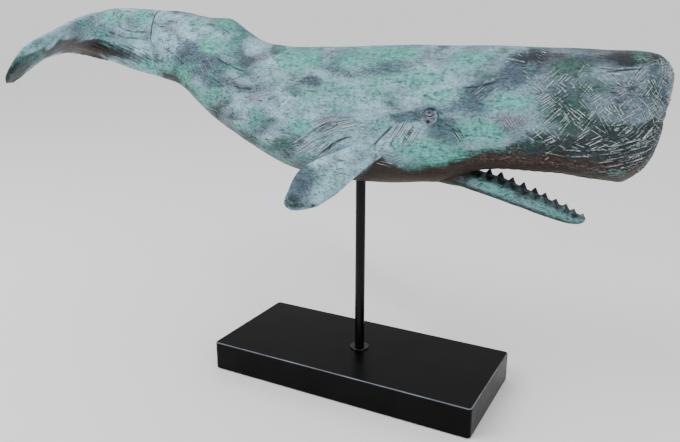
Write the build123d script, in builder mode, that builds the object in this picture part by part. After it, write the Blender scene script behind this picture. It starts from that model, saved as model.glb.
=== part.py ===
import os
from math import atan2, cos, degrees, radians, sin

from build123d import *

os.makedirs("parts", exist_ok=True)

# Lengths are in millimetres. X runs towards the whale's snout, Z is up, and the origin is the middle of the
# underside, below the rod.

# Stand
base_length = 230
base_width = 102
block_height = 24
block_corner_radius = 3
block_edge_radius = 1.2
felt_thickness = 1
felt_inset = 2
rod_diameter = 8
rod_end_chamfer = 0.6
stud_diameter = 6
stud_clearance = 0.2
stud_past_nut = 2
collar_diameter = 16
collar_height = 1.2
collar_edge_radius = 0.5
counterbore_diameter = 24
counterbore_depth = 12
washer_diameter = 18
washer_thickness = 1.6
nut_across_flats = 10
nut_height = 5

# Whale, outside
whale_length = 544
whale_width = 88
whale_depth = 106
belly_height = 170
tail_seam_share = -0.362
jaw_tooth_radius = 2.3
jaw_tooth_tip_radius = 0.7
jaw_tooth_length = 4.6
jaw_tooth_root = 1.2
jaw_tooth_sides = 6
eye_height = 60
eye_forward = 71
eye_socket_radius = 7.5
eye_ball_radius = 4.4
eye_ball_sink = 1.6
fin_length = 92
fin_chord = 30
fin_thickness = 9
fluke_half_width = 90
fluke_thickness = 15
fluke_tilt_height = 6
palate_width = 20
palate_length = 92
palate_depth = 8
palate_forward = 140

# Whale, inside
wall = 7
floor_wall = 15
boss_diameter = 26
boss_roof = 6
socket_diameter = 12
socket_length = 60
socket_recess = 2
plug_thickness = 6
running_clearance = 0.05
glue_clearance = 0.1
tail_dowel_diameter = 6
tail_dowel_length = 44
tail_dowel_height = 103
jaw_pin_diameter = 5
jaw_pin_length = 42
jaw_pin_height = 11.5
jaw_pin_start = 58
fin_peg_diameter = 6
fin_peg_length = 16.5
fin_peg_in_fin = 2.5
fin_peg_from_root = 16.5

# Cuts run this far past what they open
overrun = 10

# Sections of the whale from the end of the tail stock to the snout. Each row holds its place along the whale,
# then the heights of its back and its belly above the rod's entry in body depths, its half width in half body
# widths, the height of its widest point between belly and back, and how full its upper and lower corners are.
whale_section_shares = [
    (-0.560, 1.030, 0.925, 0.110, 0.50, 0.55, 0.55),
    (-0.535, 1.120, 0.905, 0.165, 0.50, 0.50, 0.55),
    (-0.508, 1.212, 0.865, 0.205, 0.50, 0.50, 0.55),
    (-0.485, 1.254, 0.826, 0.225, 0.50, 0.50, 0.55),
    (-0.458, 1.266, 0.792, 0.240, 0.50, 0.52, 0.55),
    (-0.427, 1.264, 0.752, 0.260, 0.50, 0.55, 0.55),
    (-0.395, 1.255, 0.722, 0.290, 0.50, 0.55, 0.55),
    (-0.362, 1.243, 0.692, 0.333, 0.50, 0.55, 0.55),
    (-0.336, 1.236, 0.664, 0.378, 0.50, 0.55, 0.55),
    (-0.307, 1.221, 0.594, 0.448, 0.50, 0.52, 0.55),
    (-0.281, 1.195, 0.497, 0.525, 0.50, 0.50, 0.55),
    (-0.254, 1.178, 0.404, 0.612, 0.50, 0.46, 0.56),
    (-0.226, 1.172, 0.322, 0.695, 0.50, 0.42, 0.57),
    (-0.200, 1.088, 0.258, 0.770, 0.50, 0.46, 0.58),
    (-0.176, 1.018, 0.205, 0.832, 0.50, 0.52, 0.58),
    (-0.151, 0.986, 0.150, 0.882, 0.50, 0.56, 0.58),
    (-0.103, 0.972, 0.060, 0.955, 0.50, 0.58, 0.58),
    (-0.033, 0.974, 0.008, 1.000, 0.50, 0.59, 0.58),
    (0.040, 0.990, 0.020, 0.988, 0.51, 0.60, 0.58),
    (0.092, 0.997, 0.050, 0.935, 0.53, 0.62, 0.58),
    (0.125, 0.998, 0.072, 0.890, 0.55, 0.64, 0.58),
    (0.145, 0.998, 0.104, 0.862, 0.56, 0.66, 0.60),
    (0.165, 0.998, 0.148, 0.845, 0.57, 0.68, 0.62),
    (0.190, 0.998, 0.188, 0.825, 0.58, 0.70, 0.64),
    (0.226, 0.996, 0.207, 0.805, 0.60, 0.72, 0.66),
    (0.276, 0.988, 0.210, 0.790, 0.60, 0.72, 0.66),
    (0.320, 0.980, 0.194, 0.768, 0.60, 0.72, 0.66),
    (0.349, 0.980, 0.192, 0.727, 0.58, 0.72, 0.66),
    (0.368, 0.972, 0.246, 0.660, 0.57, 0.70, 0.64),
    (0.3805, 0.950, 0.322, 0.570, 0.56, 0.66, 0.62),
    (0.3880, 0.914, 0.432, 0.460, 0.55, 0.62, 0.60),
    (0.3918, 0.880, 0.545, 0.360, 0.54, 0.58, 0.58),
    (0.3945, 0.848, 0.680, 0.240, 0.53, 0.56, 0.56),
    (0.3953, 0.826, 0.745, 0.140, 0.53, 0.55, 0.55),
]
cavity_rear_share = -0.290
cavity_front_share = 0.360

# Sections across the flukes from the middle to the tip. Each row holds its place out along the half span,
# then its leading edge and its trailing edge, both along the whale and up, and its thickness. The left fluke
# is tilted up and the right one down.
fluke_section_shares = [
    (0.00, -0.472, 1.205, -0.597, 0.880, 1.00),
    (0.10, -0.476, 1.218, -0.602, 0.868, 1.00),
    (0.28, -0.487, 1.188, -0.604, 0.838, 0.88),
    (0.42, -0.491, 1.156, -0.598, 0.794, 0.78),
    (0.55, -0.494, 1.123, -0.588, 0.759, 0.68),
    (0.70, -0.499, 1.085, -0.574, 0.725, 0.58),
    (0.86, -0.511, 1.011, -0.561, 0.704, 0.46),
    (0.94, -0.524, 0.913, -0.550, 0.708, 0.34),
    (0.98, -0.533, 0.840, -0.545, 0.715, 0.24),
    (1.00, -0.538, 0.799, -0.543, 0.725, 0.18),
]
# A fluke's section is a drawn out ellipse, thicker towards its leading edge
fluke_outline_points = 12
fluke_lean_share = 0.5

# Sections of the lower jaw from the throat to the tip. Each row holds its place along the whale, then the
# heights of its underside and its gum in body depths, and its half width in half body widths.
jaw_section_shares = [
    (0.118, 0.066, 0.182, 0.275),
    (0.147, 0.052, 0.184, 0.262),
    (0.176, 0.024, 0.162, 0.240),
    (0.206, -0.014, 0.132, 0.218),
    (0.235, -0.052, 0.080, 0.196),
    (0.262, -0.086, 0.030, 0.178),
    (0.283, -0.110, -0.010, 0.160),
    (0.2995, -0.120, -0.044, 0.140),
    (0.3095, -0.114, -0.060, 0.110),
    (0.3155, -0.098, -0.076, 0.060),
]
jaw_fullness_shares = (0.75, 0.62)
jaw_first_tooth_share = 0.196
jaw_last_tooth_share = 0.3085
jaw_teeth_per_side = 10
jaw_tooth_inset = 2.4

# Sections of a pectoral fin from inside the flank to the tip. Each row holds its place along the fin, its
# middle and its half chord in chords, and its half thickness in half thicknesses.
fin_section_shares = [
    (-0.11, 0.23, 0.28, 0.80),
    (0.06, 0.22, 0.28, 0.96),
    (0.18, 0.20, 0.29, 1.00),
    (0.31, 0.18, 0.34, 0.98),
    (0.46, 0.15, 0.43, 0.92),
    (0.61, 0.12, 0.50, 0.82),
    (0.73, 0.10, 0.51, 0.72),
    (0.83, 0.05, 0.42, 0.60),
    (0.91, 0.00, 0.29, 0.46),
    (0.965, -0.02, 0.17, 0.32),
    (0.993, -0.02, 0.07, 0.16),
]
# The fin's root and tip from the rod's entry, forward, out and up
fin_root_place_shares = (0.079, 0.75, 0.34)
fin_tip_place_shares = (-0.055, 1.50, -0.075)
fin_chord_direction = (-0.50, 0.10, 0.86)

# Heights worked out from the stand
block_top = felt_thickness + block_height
collar_top = block_top + collar_height
socket_bottom = belly_height + socket_recess
socket_top = socket_bottom + socket_length
rod_top = socket_top - plug_thickness - running_clearance
counterbore_top = felt_thickness + counterbore_depth
stud_bottom = counterbore_top - washer_thickness - nut_height - stud_past_nut


# A face across the whale, of four curved quarters from its widest point to its top and its bottom. The
# fullness of a quarter is how far its curve keeps to the corner.
def upright_face(along, half_width, middle, upper, lower, upper_full, lower_full):
    with BuildSketch(Plane.YZ.offset(along * whale_length)) as section:
        with BuildLine():
            for side in (half_width, -half_width):
                for end, full in ((upper, upper_full), (lower, lower_full)):
                    Bezier(
                        (side, middle),
                        (side, middle + full * (end - middle)),
                        (full * side, end),
                        (0, end),
                    )
        make_face()
    return section.sketch


# A section across the whale, drawn in from its outside by a wall and a floor
def cross_section(row, side_wall=0, lower_wall=0):
    along, back, belly, width, widest, upper_full, lower_full = row
    half_width = width * whale_width / 2 - side_wall
    upper = belly_height + back * whale_depth
    lower = belly_height + belly * whale_depth
    middle = lower + widest * (upper - lower)
    return upright_face(
        along, half_width, middle, upper - side_wall, lower + lower_wall, upper_full, lower_full
    )


# A section of the lower jaw, flat over the gum
def jaw_section(row):
    along, under, gum, width = row
    half_width = width * whale_width / 2
    upper = belly_height + gum * whale_depth
    lower = belly_height + under * whale_depth
    middle = (upper + lower) / 2
    gum_full, under_full = jaw_fullness_shares
    return upright_face(along, half_width, middle, upper, lower, gum_full, under_full)


# A section of the flukes, upright along the whale, with a round leading edge and a thin trailing edge
def fluke_section(row, side):
    out, lead_along, lead_up, trail_along, trail_up, thick = row
    lead = Vector(lead_along * whale_length, 0, belly_height + lead_up * whale_depth)
    trail = Vector(trail_along * whale_length, 0, belly_height + trail_up * whale_depth)
    chord = (trail - lead).length
    place = lead + Vector(0, side * out * fluke_half_width, side * out * fluke_tilt_height)
    half_thick = thick * fluke_thickness / 2
    turns = [radians(360 * count / fluke_outline_points) for count in range(fluke_outline_points)]
    with BuildSketch(Plane(place, x_dir=trail - lead, z_dir=(0, -1, 0))) as section:
        with BuildLine():
            Spline(
                [
                    (chord * (1 - cos(turn)) / 2, half_thick * sin(turn) * (1 + fluke_lean_share * cos(turn)))
                    for turn in turns
                ],
                periodic=True,
            )
        make_face()
    return section.sketch


# A row of a table of sections, blended between its neighbours
def row_at(rows, along):
    for before, after in zip(rows, rows[1:]):
        if before[0] <= along <= after[0]:
            blend = (along - before[0]) / (after[0] - before[0])
            return [start + blend * (end - start) for start, end in zip(before, after)]


# The unbroken outside of the whale, from the tail stock to the snout
with BuildPart() as whale_outside:
    for row in whale_section_shares:
        add(cross_section(row))
    loft(ruled=True)
tail_seam_plane = Plane.YZ.offset(tail_seam_share * whale_length)

# The hollow inside the casting, with the socket's boss standing in it
with BuildPart() as body_cavity:
    hollow_rows = [row for row in whale_section_shares if cavity_rear_share < row[0] < cavity_front_share]
    for row in hollow_rows[::2]:
        add(cross_section(row, wall, floor_wall))
    loft(ruled=True)
    with BuildSketch(Plane.XY.offset(belly_height - overrun)):
        Circle(boss_diameter / 2)
    extrude(amount=socket_top + boss_roof - belly_height + overrun, mode=Mode.SUBTRACT)

# Place and direction of the right fin, which the left one mirrors
fin_root = Vector(
    fin_root_place_shares[0] * whale_length,
    -fin_root_place_shares[1] * whale_width / 2,
    belly_height + fin_root_place_shares[2] * whale_depth,
)
fin_tip = Vector(
    fin_tip_place_shares[0] * whale_length,
    -fin_tip_place_shares[1] * whale_width / 2,
    belly_height + fin_tip_place_shares[2] * whale_depth,
)
fin_axis = (fin_tip - fin_root).normalized()
fin_chord_axis = Vector(*fin_chord_direction)
fin_chord_axis = (fin_chord_axis - fin_axis * fin_chord_axis.dot(fin_axis)).normalized()
fin_plane = Plane(fin_root, x_dir=fin_chord_axis, z_dir=fin_axis)
fin_peg_middle = row_at(fin_section_shares, fin_peg_from_root / fin_length)[1]
fin_peg_place = fin_root + fin_axis * fin_peg_from_root + fin_chord_axis * fin_chord * fin_peg_middle
fin_peg_plane = Plane(fin_peg_place - Vector(0, fin_peg_in_fin, 0), z_dir=(0, 1, 0))

# Whale body: one hollow casting from the snout to the tail seam
with BuildPart() as whale_body:
    add(whale_outside.part)
    split(bisect_by=tail_seam_plane, keep=Keep.TOP)
    add(body_cavity.part, mode=Mode.SUBTRACT)
    # Bore for the rod's socket
    with BuildSketch(Plane.XY.offset(belly_height - overrun)):
        Circle(socket_diameter / 2 + glue_clearance)
    extrude(amount=socket_top + glue_clearance - belly_height + overrun, mode=Mode.SUBTRACT)
    # Palate groove under the upper jaw
    lip = row_at(whale_section_shares, palate_forward / whale_length)[2]
    with BuildSketch(Plane.XY.offset(belly_height + lip * whale_depth + palate_depth)):
        with Locations((palate_forward, 0)):
            SlotOverall(palate_length, palate_width)
    extrude(amount=-palate_depth - overrun, mode=Mode.SUBTRACT)
    # Hole for the tail's dowel, which runs on into the hollow to let its air out
    with BuildSketch(tail_seam_plane):
        with Locations((0, belly_height + tail_dowel_height)):
            Circle(tail_dowel_diameter / 2 + glue_clearance)
    extrude(amount=(cavity_rear_share - tail_seam_share) * whale_length + overrun, mode=Mode.SUBTRACT)
    # Hole for the jaw's pin
    with BuildSketch(Plane.YZ.offset(jaw_pin_start - glue_clearance)):
        with Locations((0, belly_height + jaw_pin_height)):
            Circle(jaw_pin_diameter / 2 + glue_clearance)
    extrude(amount=jaw_pin_length, mode=Mode.SUBTRACT)
    # Holes for the fins' pegs
    with BuildSketch(fin_peg_plane):
        Circle(fin_peg_diameter / 2 + glue_clearance)
    fin_hole = extrude(amount=fin_peg_length + glue_clearance, mode=Mode.SUBTRACT)
    mirror(fin_hole, about=Plane.XZ, mode=Mode.SUBTRACT)
    # Eyes, each a ball in a shallow socket
    eye_out = row_at(whale_section_shares, eye_forward / whale_length)[3] * whale_width / 2
    with Locations(
        (eye_forward, eye_out + eye_socket_radius / 2, belly_height + eye_height),
        (eye_forward, -eye_out - eye_socket_radius / 2, belly_height + eye_height),
    ):
        Sphere(eye_socket_radius, mode=Mode.SUBTRACT)
    with Locations(
        (eye_forward, eye_out - eye_ball_radius + eye_ball_sink / 2, belly_height + eye_height),
        (eye_forward, -eye_out + eye_ball_radius - eye_ball_sink / 2, belly_height + eye_height),
    ):
        Sphere(eye_ball_radius)
whale_body.part.label = "whale_body"
export_step(whale_body.part, "parts/whale_body.step")

# Tail: the stock behind the seam and both flukes, cast as one
with BuildPart() as tail_casting:
    add(whale_outside.part)
    split(bisect_by=tail_seam_plane, keep=Keep.BOTTOM)
    for row in reversed(fluke_section_shares[1:]):
        add(fluke_section(row, -1))
    for row in fluke_section_shares:
        add(fluke_section(row, 1))
    loft(ruled=True)
    with BuildSketch(tail_seam_plane):
        with Locations((0, belly_height + tail_dowel_height)):
            Circle(tail_dowel_diameter / 2 + glue_clearance)
    extrude(amount=-tail_dowel_length / 2 - glue_clearance, mode=Mode.SUBTRACT)
tail_casting.part.label = "tail_casting"
export_step(tail_casting.part, "parts/tail_casting.step")

# Dowel across the tail seam
with BuildPart() as tail_dowel:
    with BuildSketch(tail_seam_plane):
        with Locations((0, belly_height + tail_dowel_height)):
            Circle(tail_dowel_diameter / 2)
    extrude(amount=tail_dowel_length / 2, both=True)
tail_dowel.part.label = "tail_dowel"
export_step(tail_dowel.part, "parts/tail_dowel.step")

# Lower jaw with its two rows of teeth, fitted to the throat
with BuildPart() as lower_jaw:
    for row in jaw_section_shares:
        add(jaw_section(row))
    loft(ruled=True)
    tooth_taper = degrees(atan2(jaw_tooth_radius - jaw_tooth_tip_radius, jaw_tooth_length))
    tooth_step_share = (jaw_last_tooth_share - jaw_first_tooth_share) / (jaw_teeth_per_side - 1)
    for count in range(jaw_teeth_per_side):
        along = jaw_first_tooth_share + count * tooth_step_share
        gum, half_width = row_at(jaw_section_shares, along)[2:]
        tooth_foot = belly_height + gum * whale_depth - jaw_tooth_root
        out = half_width * whale_width / 2 - jaw_tooth_inset
        with BuildSketch(Plane.XY.offset(tooth_foot)):
            with Locations((along * whale_length, out), (along * whale_length, -out)):
                RegularPolygon(jaw_tooth_radius, jaw_tooth_sides, major_radius=False)
        extrude(amount=jaw_tooth_length, taper=tooth_taper)
    add(whale_outside.part, mode=Mode.SUBTRACT)
    with BuildSketch(Plane.YZ.offset(jaw_pin_start)):
        with Locations((0, belly_height + jaw_pin_height)):
            Circle(jaw_pin_diameter / 2 + glue_clearance)
    extrude(amount=jaw_pin_length + glue_clearance, mode=Mode.SUBTRACT)
lower_jaw.part.label = "lower_jaw"
export_step(lower_jaw.part, "parts/lower_jaw.step")

# Pin from the throat into the jaw
with BuildPart() as jaw_pin:
    with BuildSketch(Plane.YZ.offset(jaw_pin_start)):
        with Locations((0, belly_height + jaw_pin_height)):
            Circle(jaw_pin_diameter / 2)
    extrude(amount=jaw_pin_length)
jaw_pin.part.label = "jaw_pin"
export_step(jaw_pin.part, "parts/jaw_pin.step")

# Right pectoral fin, fitted to the flank, with a peg through the wall
with BuildPart() as right_fin:
    for along, middle, half_chord, half_thick in fin_section_shares:
        with BuildSketch(fin_plane.offset(along * fin_length)):
            with Locations((middle * fin_chord, 0)):
                Ellipse(half_chord * fin_chord, half_thick * fin_thickness / 2)
    loft(ruled=True)
    add(whale_outside.part, mode=Mode.SUBTRACT)
    with BuildSketch(fin_peg_plane):
        Circle(fin_peg_diameter / 2)
    extrude(amount=fin_peg_length)
right_fin.part.label = "right_fin"
export_step(right_fin.part, "parts/right_fin.step")

# Left pectoral fin
with BuildPart() as left_fin:
    mirror(right_fin.part, about=Plane.XZ)
left_fin.part.label = "left_fin"
export_step(left_fin.part, "parts/left_fin.step")

# Socket: a steel sleeve cast into the belly
with BuildPart() as rod_socket:
    with BuildSketch(Plane.XY.offset(socket_bottom)):
        Circle(socket_diameter / 2)
        Circle(rod_diameter / 2 + running_clearance, mode=Mode.SUBTRACT)
    extrude(amount=socket_length)
rod_socket.part.label = "rod_socket"
export_step(rod_socket.part, "parts/rod_socket.step")

# Plug that closes the socket and carries the whale on the rod's end
with BuildPart() as socket_plug:
    with BuildSketch(Plane.XY.offset(socket_top - plug_thickness)):
        Circle(rod_diameter / 2 + running_clearance)
    extrude(amount=plug_thickness)
socket_plug.part.label = "socket_plug"
export_step(socket_plug.part, "parts/socket_plug.step")

# Base block, with the stud's hole and a counterbore from below
with BuildPart() as base_block:
    with BuildSketch(Plane.XY.offset(felt_thickness)):
        RectangleRounded(base_length, base_width, block_corner_radius)
    extrude(amount=block_height)
    fillet(base_block.faces().sort_by(Axis.Z)[-1].edges(), block_edge_radius)
    with Locations(Plane((0, 0, felt_thickness), z_dir=(0, 0, -1))):
        CounterBoreHole(
            stud_diameter / 2 + stud_clearance,
            counterbore_diameter / 2,
            counterbore_depth,
        )
base_block.part.label = "base_block"
export_step(base_block.part, "parts/base_block.step")

# Felt under the block
with BuildPart() as base_felt:
    with BuildSketch():
        RectangleRounded(base_length - 2 * felt_inset, base_width - 2 * felt_inset, block_corner_radius)
    extrude(amount=felt_thickness)
base_felt.part.label = "base_felt"
export_step(base_felt.part, "parts/base_felt.step")

# Collar between the rod's shoulder and the block
with BuildPart() as rod_collar:
    with BuildSketch(Plane.XY.offset(block_top)):
        Circle(collar_diameter / 2)
        Circle(stud_diameter / 2 + stud_clearance, mode=Mode.SUBTRACT)
    extrude(amount=collar_height)
    fillet(rod_collar.edges().group_by(Axis.Z)[-1].sort_by(SortBy.LENGTH)[-1], collar_edge_radius)
rod_collar.part.label = "rod_collar"
export_step(rod_collar.part, "parts/rod_collar.step")

# Rod, turned down below its shoulder to a stud
with BuildPart() as support_rod:
    with BuildSketch(Plane.XY.offset(collar_top)):
        Circle(rod_diameter / 2)
    extrude(amount=rod_top - collar_top)
    chamfer(support_rod.edges().group_by(Axis.Z)[-1], rod_end_chamfer)
    with BuildSketch(Plane.XY.offset(stud_bottom)):
        Circle(stud_diameter / 2)
    extrude(amount=collar_top - stud_bottom)
support_rod.part.label = "support_rod"
export_step(support_rod.part, "parts/support_rod.step")

# Washer in the counterbore
with BuildPart() as rod_washer:
    with BuildSketch(Plane.XY.offset(counterbore_top - washer_thickness)):
        Circle(washer_diameter / 2)
        Circle(stud_diameter / 2 + stud_clearance, mode=Mode.SUBTRACT)
    extrude(amount=washer_thickness)
rod_washer.part.label = "rod_washer"
export_step(rod_washer.part, "parts/rod_washer.step")

# Nut below the washer
with BuildPart() as rod_nut:
    with BuildSketch(Plane.XY.offset(counterbore_top - washer_thickness - nut_height)):
        RegularPolygon(nut_across_flats / 2, 6, major_radius=False)
        Circle(stud_diameter / 2 + running_clearance, mode=Mode.SUBTRACT)
    extrude(amount=nut_height)
rod_nut.part.label = "rod_nut"
export_step(rod_nut.part, "parts/rod_nut.step")
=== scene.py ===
import math

import bmesh
import bpy
import numpy as np
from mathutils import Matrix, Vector
from mathutils.kdtree import KDTree


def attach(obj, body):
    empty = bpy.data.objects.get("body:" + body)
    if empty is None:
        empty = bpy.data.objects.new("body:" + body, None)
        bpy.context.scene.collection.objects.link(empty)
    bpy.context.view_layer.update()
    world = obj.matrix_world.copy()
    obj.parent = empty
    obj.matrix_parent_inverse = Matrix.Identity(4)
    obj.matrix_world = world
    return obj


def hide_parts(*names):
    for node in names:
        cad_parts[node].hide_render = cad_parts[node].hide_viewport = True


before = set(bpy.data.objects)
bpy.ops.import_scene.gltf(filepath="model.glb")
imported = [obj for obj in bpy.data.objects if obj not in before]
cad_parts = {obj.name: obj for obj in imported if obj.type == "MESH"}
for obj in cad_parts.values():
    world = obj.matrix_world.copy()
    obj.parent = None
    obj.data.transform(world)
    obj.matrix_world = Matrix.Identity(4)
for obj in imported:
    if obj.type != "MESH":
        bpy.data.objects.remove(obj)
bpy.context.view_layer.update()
mm = 0.001
print("frame loaded:", len(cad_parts), "nodes")

# The camera stands where the photograph was taken from; lengths are in millimetres
shot = {
    "place": (234.5, -473.05, 288.8),
    "azimuth": 28.17,
    "elevation": 16.06,
    "focalPixels": 678.1,
    "imageWidth": 680,
    "imageHeight": 442,
    "sensorWidth": 36,
}
azimuth, elevation = math.radians(shot["azimuth"]), math.radians(shot["elevation"])
towardsCamera = np.array(
    [
        math.sin(azimuth) * math.cos(elevation),
        -math.cos(azimuth) * math.cos(elevation),
        math.sin(elevation),
    ]
)
cameraRight = np.array([math.cos(azimuth), math.sin(azimuth), 0])
cameraUp = np.cross(towardsCamera, cameraRight)

cameraData = bpy.data.cameras.new("photoCamera")
cameraData.sensor_width = shot["sensorWidth"]
cameraData.lens = shot["focalPixels"] / shot["imageWidth"] * shot["sensorWidth"]
cameraData.clip_start, cameraData.clip_end = 0.02, 20
camera = bpy.data.objects.new("photoCamera", cameraData)
bpy.context.scene.collection.objects.link(camera)
camera.location = Vector(shot["place"]) * mm
camera.rotation_mode = "QUATERNION"
camera.rotation_quaternion = Vector(-towardsCamera).to_track_quat("-Z", "Y")
bpy.context.scene.camera = camera


def photoPixels(points):  # where points of the object, in mm, fall in the photograph
    offset = points - np.array(shot["place"])
    depth = -(offset @ towardsCamera)
    across = shot["imageWidth"] / 2 + shot["focalPixels"] * (offset @ cameraRight) / depth
    down = shot["imageHeight"] / 2 - shot["focalPixels"] * (offset @ cameraUp) / depth
    return np.stack([across, down], -1)


# Paints and materials


def linear(hexColour):  # sRGB hex to the linear colour that Blender wants
    shares = [int(hexColour[k : k + 2], 16) / 255 for k in (1, 3, 5)]
    return (*[c / 12.92 if c <= 0.04045 else ((c + 0.055) / 1.055) ** 2.4 for c in shares], 1)


def addNode(tree, kind, settings=None, links=None, output=0):  # gives the new node's output socket
    node = tree.nodes.new("ShaderNode" + kind)
    for name, value in (settings or {}).items():
        setattr(node, name, value)
    for socket, source in (links or {}).items():
        if isinstance(source, bpy.types.NodeSocket):
            tree.links.new(source, node.inputs[socket])
        else:
            node.inputs[socket].default_value = source
    return node.outputs[output]


def maths(tree, operation, *inputs, **settings):
    return addNode(tree, "Math", {"operation": operation, **settings}, dict(enumerate(inputs)))


def mixed(tree, share, below, above, **settings):  # colours, or a sponge grain laid over a colour
    return addNode(tree, "Mix", {"data_type": "RGBA", **settings}, {0: share, 6: below, 7: above}, 2)


def eased(tree, value, low, high, least=0.0, most=1.0, **settings):  # low to high becomes least to most
    limits = {"Value": value, "From Min": low, "From Max": high, "To Min": least, "To Max": most}
    return addNode(tree, "MapRange", {"interpolation_type": "SMOOTHSTEP", **settings}, limits, "Result")


def scaledPlace(tree, vector, scale, location=(0, 0, 0), rotation=(0, 0, 0)):
    sockets = {"Vector": vector, "Location": location, "Rotation": rotation, "Scale": scale}
    return addNode(tree, "Mapping", {"vector_type": "TEXTURE"}, sockets)


def newMaterial(name, constants):
    material = bpy.data.materials.new(name)
    material.use_nodes = True
    shader = material.node_tree.nodes["Principled BSDF"]
    for socket, value in constants.items():
        shader.inputs[socket].default_value = value
    return material, material.node_tree, shader


# Cast polyresin, hand painted and rubbed back like old bronze: chalky, with a low sheen on the dark paint
verdigris = {
    "colours": {
        "pale": "#a5cdd9",
        "ash": "#73929c",
        "mint": "#549b92",
        "slate": "#435362",
        "mauve": "#78768a",
        "dark": "#191f22",
        "green": "#2f5148",
        "brown": "#2f221a",
        "rub": "#bcc9cd",
        "rubWarm": "#b09a9f",
        "groove": "#151a1d",
    },
    # grain width in mm, stretch along the body, detail, roughness, half range around the middle
    "noises": {
        "cloud": (16.0, 2.2, 6, 0.62, 0.17),
        "patch": (7.0, 1.8, 6, 0.70, 0.17),
        "dab": (2.6, 1.3, 5, 0.72, 0.18),
        "streak": (1.5, 7.0, 4, 0.68, 0.18),
        "speck": (1.2, 1.7, 4, 0.72, 0.17),  # drawn coarser than real sponge marks, so that it shows
    },
    # attribute, channel, paint, noises that break its edge and how much, strongest share
    "layers": (
        ("paintB", 2, "mauve", {"patch": 0.26, "dab": 0.26, "speck": 0.13}, 0.85),
        ("paintA", 1, "slate", {"patch": -0.26, "dab": 0.30, "speck": -0.14}, 0.95),
        ("paintB", 1, "green", {"cloud": 0.26, "dab": -0.28, "speck": 0.13}, 0.92),
        ("paintA", 2, "dark", {"cloud": -0.24, "dab": 0.26, "streak": 0.24}, 0.95),
        ("paintA", 0, "mint", {"patch": 0.24, "dab": -0.30, "speck": 0.15}, 0.90),
        ("paintB", 0, "brown", {"cloud": 0.22, "streak": -0.22, "dab": 0.20}, 0.97),
    ),
    "paintEdge": (0.05, 1.0),  # how far a paint blends into the next one
    # what breaks the ground's two tones, the sponge grain and the edges of cut and rubbed strokes
    "ashNoises": {"patch": 0.25, "dab": 0.25, "streak": 0.2},
    "ashEdge": (0.25, 0.85),
    "grainNoises": {"dab": 0.28, "speck": 0.15, "streak": 0.16},
    "grainShare": 0.85,
    "cutNoises": {"speck": 0.10},
    "cutEdge": (0.1, 0.9),
    "rubNoises": {"speck": 0.22, "dab": 0.10},
    "rubEdge": (0.25, 1.05),
    "mostCut": 0.85,
    "mostRub": 0.85,
    "ridgeRub": 0.85,  # share of a carved stroke's ridge that is rubbed bare
    # dashes painted in rows, in mm, each light where it is rubbed and dark in the groove beside
    "strokeLength": 40.0,
    "strokeSpacing": 1.6,
    "grooveShift": 0.42,
    "dashEdge": (0.27, 0.13),
    "dashRub": {"2D": 0.9, "3D": 0.25},  # the fine scratches, in 3D, are mostly dark
    # turn in degrees, length, spacing and share of the fine scratches all over
    "scratches": ((-32, 15.0, 2.0, 0.80), (4, 20.0, 1.8, 0.95), (38, 13.0, 2.1, 0.70), (78, 9.0, 2.0, 0.55)),
    "scratchClouds": {"cloud": 0.4, "patch": 0.25},
    "scratchEdge": (0.35, 0.75),
    "roughness": (0.52, 0.10),  # middle and change
    "reliefs": {"dab": 0.35, "speck": 0.22, "streak": 0.20},
    "bumpStrength": 0.7,
    "bumpDepth": 0.28,
}


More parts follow.
